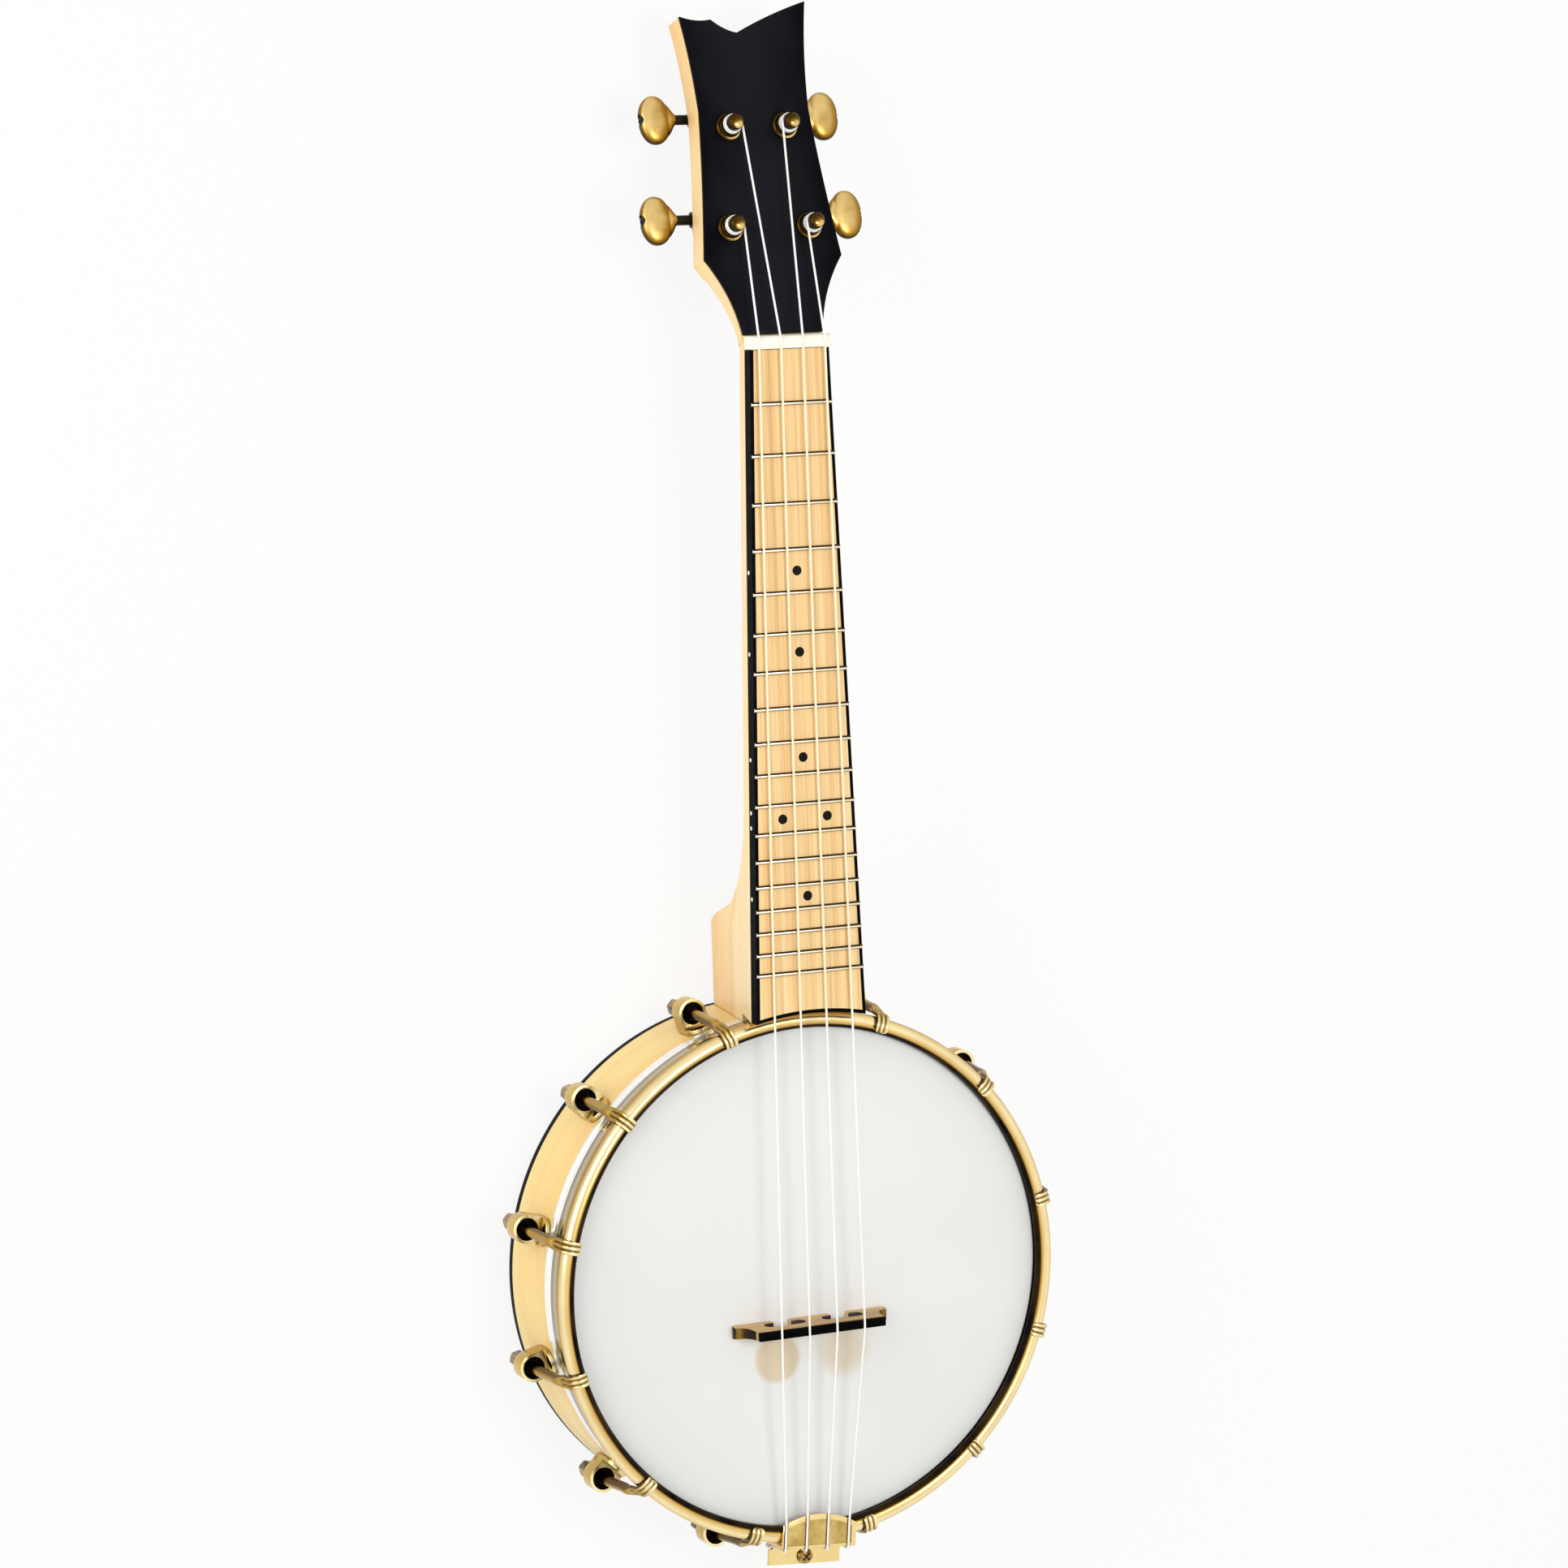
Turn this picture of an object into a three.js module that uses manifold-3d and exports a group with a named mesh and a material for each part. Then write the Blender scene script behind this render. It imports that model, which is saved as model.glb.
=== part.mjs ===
// A concert banjo ukulele: open-backed maple pot with a plastic head held by a brass hoop and twelve
// bracket hooks, a bound maple neck, four geared machine heads, a three-footed bridge and a bent tailpiece.
// Millimetres. +Z points up out of the head, +Y runs towards the headstock, +X is the player's treble side.
import * as THREE from "three";
import { mergeVertices } from "three/addons/utils/BufferGeometryUtils.js";
import Module from "manifold-3d";

const wasm = await Module();
wasm.setup();
const rad = THREE.MathUtils.degToRad;

// Fits
const seatGap = 0.3; // where two pieces touch
const glueGap = 0.15; // where two pieces are glued or inlaid
const overrun = 6; // how far a cutter runs past what it cuts
const weldDistance = 1e-4;

// Facets
const ringSides = 48;
const roundSides = 12;
const rodSides = 8;
const padSides = 24;
const hexSides = 6;
const outlineSegments = 6; // per curve of the headstock
const archSegments = 5; // per curve of the bridge
const nutSegments = 4;
const fretSegments = 2;
const buttonSegments = 8;
const bevelSegments = 2;
const beadSegments = 6;
const clawSegments = 6;
const stringSides = 6;

// Strings and scale
const stringCount = 4;
const scaleLength = 380;
const bridgeSetback = 10; // the bridge stands this far past the scale's true end
const stringDiameter = 0.9;
const nutStringSpacing = 9.33;
const bridgeStringSpacing = 12.05;
const tailStringSpacing = 9.2;
const tailStringShift = 1; // the tailpiece's grooves stand off its middle, towards the bass side
const windingTurns = 2.25;
const windingPitch = 1.4;
const windingSteps = 16; // per turn

// Rim
const rimRadius = 104.7;
const rimWall = 10;
const rimHeight = 59.3; // up to the bearing edge
const shoulderHeight = 40.9; // where the rim steps in for the hoops
const shoulderStep = 3.5;
const bearingRound = 2.6;
const backBindingHeight = 4;
const backBindingWidth = 2;

// Head and hoops
const filmThickness = 0.5;
const fleshHoopHeight = 7.7;
const fleshHoopWall = 2.9;
const fleshHoopEdge = 0.6;
const hoopStandoff = 0.5; // skirt of the tension hoop past the flesh hoop
const hoopSkirtWall = 3;
const beadDiameter = 6.6;
const beadSetback = 0.7; // bead centre inside the flesh hoop's edge
const beadRise = 3; // bead centre over the head
const beadFrom = -68; // degrees where the bead leaves the skirt's outside
const beadSweep = 270; // degrees round to the skirt's inside
const padRadius = 9.6;
const padThickness = 3;
const padShare = 0.44; // pads either side of their middle, over the bridge's half base
const padShift = 0.8; // their middle off the centre line, towards the treble side
const padBehindBridge = 13.2;

// Bracket hooks and shoes
const hooksPerSide = 6;
const trebleFirstHook = 18.7; // degrees from the neck
const trebleLastHook = 168.1;
const bassFirstHook = 18;
const bassLastHook = 164.4;
const hookLean = 1.2; // degrees that the last bass hooks lean towards the tail
const rodDiameter = 4.2;
const rodStandoff = 5.8; // rod axis past the rim where it turns flat
const rodPlay = 1.4; // the shoe's bore over the rod
const rodTail = 2.4; // thread below the nut
const clawWidth = 5.6;
const clawThickness = 1.7;
const clawNeck = 8; // from the bead centre down to where the rod turns flat
const clawSweep = 124; // degrees that the claw wraps over the bead
const clawStartShare = 0.85; // how flat the rod is halfway up its bend
const hookNutWidth = 7.2; // across the corners
const hookNutHeight = 11;
const shoeWidth = 11.6;
const shoeStandoff = 7.3; // barrel axis past the rim
const shoeFront = 34.5; // front face over the rim's back
const shoeLength = 8;
const shoeMouth = 7.9; // the bore widens to this at the front
const shoeMouthDepth = 5;
const shoePlateThickness = 2;
const shoePlateTail = 3.4; // plate below the barrel

// Coordinator rod
const coordinatorHeight = 24;
const coordinatorDiameter = 8;
const threadDiameter = 5;
const heelBoreDepth = 15;
const rodNutWidth = 13;
const rodNutHeight = 5;
const tailBoltDepth = 8; // thread inside the rod
const tailBoltHead = 9;
const tailBoltHeadHeight = 3.6;

// Fingerboard
const fretCount = 18;
const boardHalfAtNut = 16.8;
const boardTaper = 0.026; // half-width gained per millimetre from the nut
const boardThickness = 5.4;
const boardRise = 13.8; // board top over the head
const boardBindingWidth = 1.3;
const boardPastLastFret = 16.75;
const hoopClearance = 0.9; // between the board's end and the bead
const fretWidth = 1.8;
const fretHeight = 1;

// Neck
const neckDepthAtNut = 16.5;
const neckDepthAtHeel = 19.5;
const heelZone = 85; // from the rim to where the heel has died into the shaft
const heelFoot = 1; // heel bottom over the rim's back
const heelFootHalf = 14;
const throatSquareAt = 26; // along the headstock, where the throat has become a square slab

// String nut
const stringNutLength = 5.2;
const stringNutHeight = 7.8;
const stringNutOverhang = 0.3;

// Headstock
const headTilt = 13.93; // degrees
const headLength = 134;
const headHalfWidth = 29.2;
const headThickness = 12.5;
const veneerThickness = 1.5;
const veneerRise = 0.2; // face over the fingerboard's underside at the nut

// Machine heads
const lowerPostX = 16.8;
const lowerPostY = 43.2;
const upperPostX = 12;
const upperPostY = 83.6;
const postRadius = 3;
const postWaist = 2.6;
const postHeight = 10.1;
const postCapRadius = 3.2;
const postCapHeight = 2.9;
const postCapCrownShare = 0.6; // flat of the cap over its radius
const postCapEdgeShare = 0.67; // height of the cap's straight edge
const bushingRadius = 4.4;
const collarRadius = 5.3;
const collarThickness = 2.4;
const housingWidth = 15;
const housingLength = 19.6;
const housingDepth = 8.2;
const housingRound = 3;
const wormOffset = 7.7; // button shaft past the post, towards the tip
const wormDepth = 3.6; // button shaft behind the headstock's back
const wormBossRadius = 3.2;
const wormBossLength = 1.6;
const shaftRadius = 2;
const shaftSocket = 5;
const buttonReach = 24.1; // post axis to button centre
const buttonWidth = 12.8;
const buttonLength = 19.4;
const buttonThickness = 6.6;
const buttonRoundShare = 0.3; // bevel of the button over its thickness
const buttonScrewRadius = 1.9;
const buttonScrewHeight = 1;
const earRadius = 3.2;
const earThickness = 1.8;

// Bridge
const bridgeHeight = 15.1; // from the feet to the top of the cap
const bridgeHalfBase = 33.2;
const bridgeHalfTop = 27.5;
const bridgeBaseDepth = 5.4;
const bridgeTopDepth = 3.5;
const bridgeCapThickness = 1.9;
const bridgeFootHeight = 3.2;
const centreFootHalf = 8.8;
const footGap = 7.5;
const archWidth = 17.5;
const archFloor = 3;
const archHeight = 5;

// Tailpiece
const tailTurn = 4.5; // degrees that the plate sits askew on its screw
const tailShift = 2.4; // the screw stands off the centre line, towards the bass side
const tailPlateHalf = 16;
const tailPlateLength = 14.2;
const tailArch = 4.2; // how far the front edge bows out
const tailSheet = 1.5;
const tailWallHeight = 14;
const tailFlangeLength = 9.4;
const tailFlangeHalf = 15.6;
const tailScrewSetback = 6.2; // screw behind the wall
const tailGrooveWidth = 1.7;
const tailGrooveDepth = 0.5;
const tailSlotWidth = 2;
const tailSlotLength = 2.6;
const screwHeadRadius = 3.15;
const screwHeadHeight = 1.9;
const screwDomeShares = [[1, 0], [1, 0.33], [0.7, 0.85], [0, 1]]; // across the radius, up the head
const screwRadius = 1.7;
const screwNutRadius = 3.4;
const screwNutHeight = 2.6;
const bracketHalfWidth = 7;
const bracketPastScrew = 5.5;
const bracketSheet = 2;
const bracketTop = 40;
const bracketBottom = 14;

// Places worked out from the sizes above
const upperRimRadius = rimRadius - shoulderStep;
const headPlane = rimHeight + seatGap + filmThickness;
const filmRadius = upperRimRadius + seatGap + filmThickness;
const fleshHoopBottom = shoulderHeight + seatGap;
const fleshHoopTop = fleshHoopBottom + fleshHoopHeight;
const fleshHoopInner = filmRadius + seatGap;
const fleshHoopOuter = fleshHoopInner + fleshHoopWall;
const skirtOuter = fleshHoopOuter + hoopStandoff;
const skirtBottom = fleshHoopTop + seatGap;
const beadRadius = beadDiameter / 2;
const beadAt = new THREE.Vector2(fleshHoopOuter - beadSetback, headPlane + beadRise);
const hoopOuter = beadAt.x + beadRadius;
const hoopTop = beadAt.y + beadRadius;
const boardEndRadius = hoopOuter + hoopClearance;
const lastFretFromEnd = scaleLength * 2 ** (-fretCount / 12);
const nutY = boardEndRadius + boardPastLastFret + scaleLength - lastFretFromEnd;
const bridgeY = nutY - scaleLength - bridgeSetback;
const nutBackY = nutY + stringNutLength;
const boardTop = headPlane + boardRise;
const boardBottom = boardTop - boardThickness;
const neckTop = boardBottom - seatGap;
const headBase = new THREE.Vector3(0, nutBackY, boardBottom + veneerRise);
const headBack = -headThickness;
const stringRadius = stringDiameter / 2;
const rodAxis = rimRadius + rodStandoff;
const barrelAxis = rimRadius + shoeStandoff;
const shoeBottom = shoeFront - shoeLength;
const bridgeBase = headPlane + seatGap;
const bridgeTop = bridgeBase + bridgeHeight;
const bridgeStringZ = bridgeTop + seatGap / 3;
const nutTop = boardBottom + stringNutHeight;
const nutStringZ = nutTop + stringRadius / 2;
const stringSlot = stringDiameter + seatGap * 2;

const boardHalfAt = (y) => boardHalfAtNut + boardTaper * (nutY - y);
const fretY = (n) => nutY - scaleLength * (1 - 2 ** (-n / 12));
const stringsAt = (spacing) =>
  Array.from({ length: stringCount }, (_, i) => (i - (stringCount - 1) / 2) * spacing);

// Finishes
const finish = (color, roughness, metalness = 0) =>
  new THREE.MeshStandardMaterial({ color, roughness, metalness });
const maple = finish(0xf0cb86, 0.38);
const blackWood = finish(0x0c0c12, 0.3);
const brass = finish(0xc9a24c, 0.32, 0.9);
const brightMetal = finish(0xdcdde0, 0.25, 0.9);
const steel = finish(0x9a9a9c, 0.35, 0.9);
const headFilm = finish(0xedede8, 0.5);
const bone = finish(0xf8f3df, 0.4);
const nylon = finish(0xf4f1e6, 0.35);
const bridgeWood = finish(0xcda76a, 0.5);
const darkSteel = finish(0x1a1712, 0.4, 0.6);

// Solids

// A closed mesh as a solid; a profile may run either way round, so one that is inside out is turned.
function solidOf(geometry) {
  const bare = new THREE.BufferGeometry();
  bare.setAttribute("position", geometry.getAttribute("position").clone());
  if (geometry.index) bare.setIndex(geometry.index.clone());
  const welded = mergeVertices(bare, weldDistance);
  const corners = welded.index.array;
  const kept = [];
  for (let i = 0; i < corners.length; i += 3) {
    const [a, b, c] = [corners[i], corners[i + 1], corners[i + 2]];
    if (a !== b && b !== c && a !== c) kept.push(a, b, c);
  }
  const build = (list) =>
    new wasm.Manifold(
      new wasm.Mesh({
        numProp: 3,
        vertProperties: new Float32Array(welded.attributes.position.array),
        triVerts: new Uint32Array(list),
      }),
    );
  const made = build(kept);
  return made.volume() < 0 ? build(kept.reverse()) : made;
}

function geometryOf(solid) {
  const mesh = solid.getMesh();
  const geometry = new THREE.BufferGeometry();
  geometry.setAttribute("position", new THREE.BufferAttribute(mesh.vertProperties, 3));
  geometry.setIndex(new THREE.BufferAttribute(mesh.triVerts, 1));
  geometry.computeVertexNormals();
  return geometry;
}

const joined = (first, ...rest) => rest.reduce((sum, next) => sum.add(next), first);
const cut = (body, ...tools) => tools.reduce((rest, tool) => rest.subtract(tool), body);

function addPart(parent, name, solid, material) {
  const mesh = new THREE.Mesh(geometryOf(solid), material);
  mesh.name = name;
  parent.add(mesh);
  return mesh;
}

// A box from its two corners.
function block(low, high) {
  const size = high.map((value, axis) => value - low[axis]);
  const middle = high.map((value, axis) => (value + low[axis]) / 2);
  return solidOf(new THREE.BoxGeometry(...size).translate(...middle));
}

// A rod between two places along "x", "y" or "z", with its centre line through `at`.
function rodAlong(axis, radius, from, to, at, sides = roundSides) {
  const geometry = new THREE.CylinderGeometry(radius, radius, to - from, sides);
  if (axis === "x") geometry.rotateZ(-Math.PI / 2);
  if (axis === "z") geometry.rotateX(Math.PI / 2);
  const centre = new THREE.Vector3(...at);
  centre[axis] = (from + to) / 2;
  return solidOf(geometry.translate(centre.x, centre.y, centre.z));
}

// A solid of revolution about Z from [radius, height] points.
function turned(profile, sides = ringSides) {
  const points = profile.map(([r, z]) => new THREE.Vector2(r, z));
  if (profile[0][0] > 0) points.push(points[0].clone());
  return solidOf(new THREE.LatheGeometry(points, sides).rotateX(Math.PI / 2));
}

function extruded(shape, depth, curveSegments = roundSides) {
  return new THREE.ExtrudeGeometry(shape, { depth, curveSegments, bevelEnabled: false, steps: 1 });
}

// A closed skin over rings of equal count, each end closed by a fan round its middle.
function skinned(rings) {
  const count = rings[0].length;
  const places = rings.flat();
  const faces = [];
  for (let r = 0; r + 1 < rings.length; r++)
    for (let i = 0; i < count; i++) {
      const j = (i + 1) % count;
      const [a, b] = [r * count + i, r * count + j];
      const [c, d] = [a + count, b + count];
      faces.push(a, b, d, a, d, c);
    }
  const fan = (ring, first, flip) => {
    const middle = ring.reduce((sum, p) => sum.add(p), new THREE.Vector3()).divideScalar(count);
    places.push(middle);
    for (let i = 0; i < count; i++) {
      const [a, b] = [first + i, first + ((i + 1) % count)];
      faces.push(...(flip ? [a, b, places.length - 1] : [b, a, places.length - 1]));
    }
  };
  fan(rings[0], 0, false);
  fan(rings[rings.length - 1], (rings.length - 1) * count, true);
  const geometry = new THREE.BufferGeometry().setFromPoints(places);
  geometry.setIndex(faces);
  return solidOf(geometry);
}

// A round tube through points, its rings square to the run on both sides.
function tube(points, radius, sides) {
  const along = points.map((point, i) => {
    const before = points[Math.max(i - 1, 0)];
    const after = points[Math.min(i + 1, points.length - 1)];
    const into = point.clone().sub(before).normalize();
    const out = after.clone().sub(point).normalize();
    return into.add(out).normalize();
  });
  let side = new THREE.Vector3(1, 0, 0).cross(along[0]).normalize();
  const rings = points.map((point, i) => {
    side = side.clone().addScaledVector(along[i], -side.dot(along[i])).normalize();
    const up = along[i].clone().cross(side);
    return Array.from({ length: sides }, (_, k) => {
      const angle = (2 * Math.PI * k) / sides;
      return point
        .clone()
        .addScaledVector(side, radius * Math.cos(angle))
        .addScaledVector(up, radius * Math.sin(angle));
    });
  });
  return skinned(rings);
}

// Groups: the tailpiece turns about its screw, and the headstock is tilted back
const upwards = new THREE.Vector3(0, 0, 1);
const instrument = new THREE.Group();
const tailGroup = new THREE.Group();
const headGroup = new THREE.Group();
headGroup.position.copy(headBase);
headGroup.rotation.x = -rad(headTilt);
instrument.add(tailGroup, headGroup);

// Rim: a turned shell with a shoulder for the hoops, a rounded bearing edge and two bolt holes
function makeRim() {
  const inner = rimRadius - rimWall;
  const rebate = rimRadius - backBindingWidth - glueGap;
  const crown = upperRimRadius - bearingRound;
  const shell = turned([
    [inner, 0],
    [rebate, 0],
    [rebate, backBindingHeight + glueGap],
    [rimRadius, backBindingHeight + glueGap],
    [rimRadius, shoulderHeight],
    [upperRimRadius, shoulderHeight],
    [upperRimRadius, rimHeight - bearingRound],
    [crown + bearingRound * Math.SQRT1_2, rimHeight - bearingRound * (1 - Math.SQRT1_2)],
    [crown, rimHeight],
    [inner, rimHeight - bearingRound],
  ]);
  const holes = rodAlong(
    "y",
    threadDiameter / 2 + seatGap,
    -rimRadius - overrun,
    rimRadius + overrun,
    [0, 0, coordinatorHeight],
    rodSides,
  );
  addPart(instrument, "rim_shell", cut(shell, holes), maple);
  addPart(
    instrument,
    "rim_back_binding",
    turned([
      [rimRadius - backBindingWidth, 0],
      [rimRadius, 0],
      [rimRadius, backBindingHeight],
      [rimRadius - backBindingWidth, backBindingHeight],
    ]),
    blackWood,
  );
}

// Head: a film over the bearing edge whose skirt runs down inside the flesh hoop
function makeHead() {
  const underside = headPlane - filmThickness;
  const skirtEnd = fleshHoopBottom + fleshHoopEdge;
  const turn = bearingRound;
  const bend = turn * (1 - Math.SQRT1_2);
  addPart(
    instrument,
    "drum_head",
    turned([
      [0, underside],
      [filmRadius - turn, underside],
      [filmRadius - filmThickness - bend, underside - bend],
      [filmRadius - filmThickness, underside - turn],
      [filmRadius - filmThickness, skirtEnd],
      [filmRadius, skirtEnd],
      [filmRadius, headPlane - turn],
      [filmRadius - bend, headPlane - bend],
      [filmRadius - turn, headPlane],
      [0, headPlane],
    ]),
    headFilm,
  );
  const padTop = underside - seatGap;
  const padY = bridgeY - padBehindBridge;
  for (const [name, side] of [["left", -1], ["right", 1]]) {
    const at = [padShift + side * padShare * bridgeHalfBase, padY, 0];
    const pad = rodAlong("z", padRadius, padTop - padThickness, padTop, at, padSides);
    addPart(instrument, "head_pad_" + name, pad, bridgeWood);
  }
}

// Hoops: the flesh hoop grips the film's edge and the tension hoop bears down on it
function makeHoops() {
  addPart(
    instrument,
    "flesh_hoop",
    turned([
      [fleshHoopInner, fleshHoopBottom],
      [fleshHoopOuter - fleshHoopEdge, fleshHoopBottom],
      [fleshHoopOuter, fleshHoopBottom + fleshHoopEdge],
      [fleshHoopOuter, fleshHoopTop - fleshHoopEdge],
      [fleshHoopOuter - fleshHoopEdge, fleshHoopTop],
      [fleshHoopInner, fleshHoopTop],
    ]),
    brightMetal,
  );
  const skirtInner = skirtOuter - hoopSkirtWall;
  const bead = Array.from({ length: beadSegments + 1 }, (_, i) => {
    const angle = rad(beadFrom + (beadSweep * i) / beadSegments);
    return [beadAt.x + beadRadius * Math.cos(angle), beadAt.y + beadRadius * Math.sin(angle)];
  });
  addPart(
    instrument,
    "tension_hoop",
    turned([
      [skirtInner, skirtBottom],
      [skirtOuter, skirtBottom],
      ...bead,
      [skirtInner, beadAt.y - beadRadius],
    ]),
    brass,
  );
}

// Bracket shoe, in a frame whose +Y points out from the rim: a barrel that takes the rod, carried by a
// plate with round ends that is hollowed to lie on the rim
const rimSeat = turned(
  [
    [0, -overrun],
    [rimRadius + seatGap, -overrun],
    [rimRadius + seatGap, rimHeight],
    [0, rimHeight],
  ],
  ringSides * 2,
);

function makeShoe() {
  const half = shoeWidth / 2;
  const plan = new THREE.Shape();
  plan.moveTo(-half, rimRadius - shoePlateThickness);
  plan.lineTo(half, rimRadius - shoePlateThickness);
  plan.lineTo(half, barrelAxis);
  plan.absarc(0, barrelAxis, half, 0, Math.PI, false);
  const barrel = solidOf(extruded(plan, shoeLength, roundSides / 2).translate(0, 0, shoeBottom));
  const plateTop = shoulderHeight;
  const plateBottom = shoeBottom - shoePlateTail;
  const face = new THREE.Shape();
  face.absarc(0, plateTop - half, half, 0, Math.PI, false);
  face.absarc(0, plateBottom + half, half, Math.PI, 2 * Math.PI, false);
  const depth = shoePlateThickness * 2;
  const plate = solidOf(
    extruded(face, depth, roundSides / 3)
      .rotateX(Math.PI / 2)
      .translate(0, rimRadius + shoePlateThickness, 0),
  );
  const at = [0, barrelAxis, 0];
  const bore = rodAlong("z", (rodDiameter + rodPlay) / 2, shoeBottom - overrun, shoeFront, at);
  const mouth = rodAlong("z", shoeMouth / 2, shoeFront - shoeMouthDepth, shoeFront + overrun, at);
  return cut(joined(barrel, plate), rimSeat, bore, mouth);
}

// Bracket hook in the same frame: a round rod that rises through the shoe, leans in and flattens into a
// claw with two grooves, lofted through one section that changes from a circle to the ribbed claw, with its
// long hex nut below the shoe
const clawSectionShares = [
  [-1, 0.3], [-0.72, 1], [-0.36, 0.25], [0, 1], [0.36, 0.25],
  [0.72, 1], [1, 0.3], [0.85, -1], [0, -1], [-0.85, -1],
];
const rodSectionAngles = [190, 157, 123, 90, 57, 23, -10, -50, -90, -130];

function makeHook(lean) {
  const clawRadius = beadRadius + seatGap + clawThickness / 2;
  const hexTop = shoeBottom - seatGap;
  const hexBottom = hexTop - hookNutHeight;
  const neckZ = beadAt.y - clawNeck;
  const shank = new THREE.Vector2(beadAt.x + clawRadius, beadAt.y);
  const stations = [
    { r: barrelAxis, z: hexBottom - rodTail, turn: 0, flat: 0 },
    { r: barrelAxis, z: shoeFront, turn: 0, flat: 0 },
    { r: rodAxis, z: neckZ, turn: 0, flat: 0 },
    { r: (rodAxis + shank.x) / 2, z: (neckZ + shank.y) / 2, turn: 0, flat: clawStartShare },
  ];
  for (let i = 0; i <= clawSegments; i++) {
    const angle = (clawSweep * i) / clawSegments;
    stations.push({
      r: beadAt.x + clawRadius * Math.cos(rad(angle)),
      z: beadAt.y + clawRadius * Math.sin(rad(angle)),
      turn: angle,
      flat: 1,
    });
  }
  const rodRadius = rodDiameter / 2;
  const rings = stations.map(({ r, z, turn, flat }) => {
    const outward = new THREE.Vector3(0, Math.cos(rad(turn)), Math.sin(rad(turn)));
    const climb = THREE.MathUtils.clamp((z - shoeBottom) / (beadAt.y - shoeBottom), 0, 1);
    return clawSectionShares.map(([across, out], i) => {
      const angle = rad(rodSectionAngles[i]);
      const x = THREE.MathUtils.lerp(rodRadius * Math.cos(angle), (across * clawWidth) / 2, flat);
      const lift = THREE.MathUtils.lerp(rodRadius * Math.sin(angle), (out * clawThickness) / 2, flat);
      const place = new THREE.Vector3(x, r, z).addScaledVector(outward, lift);
      return place.applyAxisAngle(upwards, -rad(lean) * climb);
    });
  });
  const hexagon = rodAlong("z", hookNutWidth / 2, hexBottom, hexTop, [0, barrelAxis, 0], hexSides);
  return joined(skinned(rings), hexagon);
}

// Hooks are numbered from the neck down the treble side, then on round from the tail up the bass side.
// Down the bass side the claws sit a little further round than their shoes.
function makeBrackets() {
  const shoe = makeShoe();
  for (const side of [1, -1])
    for (let i = 0; i < hooksPerSide; i++) {
      const share = i / (hooksPerSide - 1);
      const [first, last] = side > 0 ? [trebleFirstHook, trebleLastHook] : [bassFirstHook, bassLastHook];
      const lean = side > 0 ? 0 : -hookLean * share;
      const angle = side * THREE.MathUtils.lerp(first, last, share) - lean;
      const number = String(side > 0 ? i + 1 : 2 * hooksPerSide - i).padStart(2, "0");
      addPart(instrument, "bracket_shoe_" + number, shoe, brass).rotation.z = -rad(angle);
      addPart(instrument, "bracket_hook_" + number, makeHook(lean), brass).rotation.z = -rad(angle);
    }
}

// Coordinator rod: runs across the pot, through the rim into the heel, with a nut at the heel end and a
// bolt at the tail end
function makeCoordinator() {
  const facetReach = (rimRadius - rimWall) * Math.cos(Math.PI / ringSides);
  const inside = Math.sqrt(facetReach ** 2 - (rodNutWidth / 2) ** 2);
  const bodyEnd = inside - rodNutHeight - seatGap * 2;
  const tip = rimRadius + heelBoreDepth - seatGap;
  const at = [0, 0, coordinatorHeight];
  const tailEnd = seatGap - inside;
  const bolt = threadDiameter / 2;
  const rod = joined(
    rodAlong("y", coordinatorDiameter / 2, tailEnd, bodyEnd, at),
    rodAlong("y", bolt, bodyEnd - seatGap, tip, at, rodSides),
  );
  const threadEnd = tailEnd + tailBoltDepth;
  const tapped = rodAlong("y", bolt + seatGap, tailEnd - overrun, threadEnd + seatGap, at, rodSides);
  addPart(instrument, "coordinator_rod", cut(rod, tapped), steel);
  const nutEnd = inside - seatGap;
  const nut = rodAlong("y", rodNutWidth / 2, nutEnd - rodNutHeight, nutEnd, at, hexSides);
  const nutBore = rodAlong("y", bolt + seatGap, 0, rimRadius, at, rodSides);
  addPart(instrument, "coordinator_nut", cut(nut, nutBore), steel);
  const seat = -(rimRadius + seatGap * 2 + bracketSheet);
  const head = rodAlong("y", tailBoltHead / 2, seat - tailBoltHeadHeight, seat, at, hexSides);
  const shank = rodAlong("y", bolt, seat - seatGap, threadEnd, at, rodSides);
  addPart(instrument, "tail_bolt", joined(head, shank), brass);
}

// Neck: one loft for shaft and heel, joined to the tilted slab of the headstock
const heelShares = [
  // distance from the rim over the heel zone, depth between shaft and full heel
  [-0.12, 1], [0.39, 1], [0.433, 0.9], [0.468, 0.74], [0.504, 0.59],
  [0.574, 0.49], [0.64, 0.4], [0.715, 0.29], [0.79, 0.15], [0.87, 0.05], [1, 0],
];
const heelSquareShare = 0.75; // depth share at which a section has become all heel
const shaftRoundness = 0.9; // exponents that shape a section: nearer 0 is squarer
const shaftDropRoundness = 0.85;
const heelSideRoundness = 0.1;
const heelTaperPower = 1.8;
const slabRoundness = 0.12;
const sectionSteps = 14;

// One section of the neck from edge to edge below its top: a half round in the shaft, which turns into a
// flat-sided one that narrows towards its foot in the heel.
function neckSection(y, top, half, depth, heel) {
  return Array.from({ length: sectionSteps + 1 }, (_, i) => {
    const angle = (Math.PI * i) / sectionSteps;
    const [c, s] = [Math.cos(angle), Math.sin(angle)];
    const shaftX = half * Math.sign(c) * Math.abs(c) ** shaftRoundness;
    const taper = heelFootHalf + (half - heelFootHalf) * (1 - s) ** heelTaperPower;
    const heelX = Math.sign(c) * Math.min(taper, half) * Math.abs(c) ** heelSideRoundness;
    const drop = s ** THREE.MathUtils.lerp(shaftDropRoundness, 1, heel);
    return new THREE.Vector3(THREE.MathUtils.lerp(shaftX, heelX, heel), y, top - depth * drop);
  });
}

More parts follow.
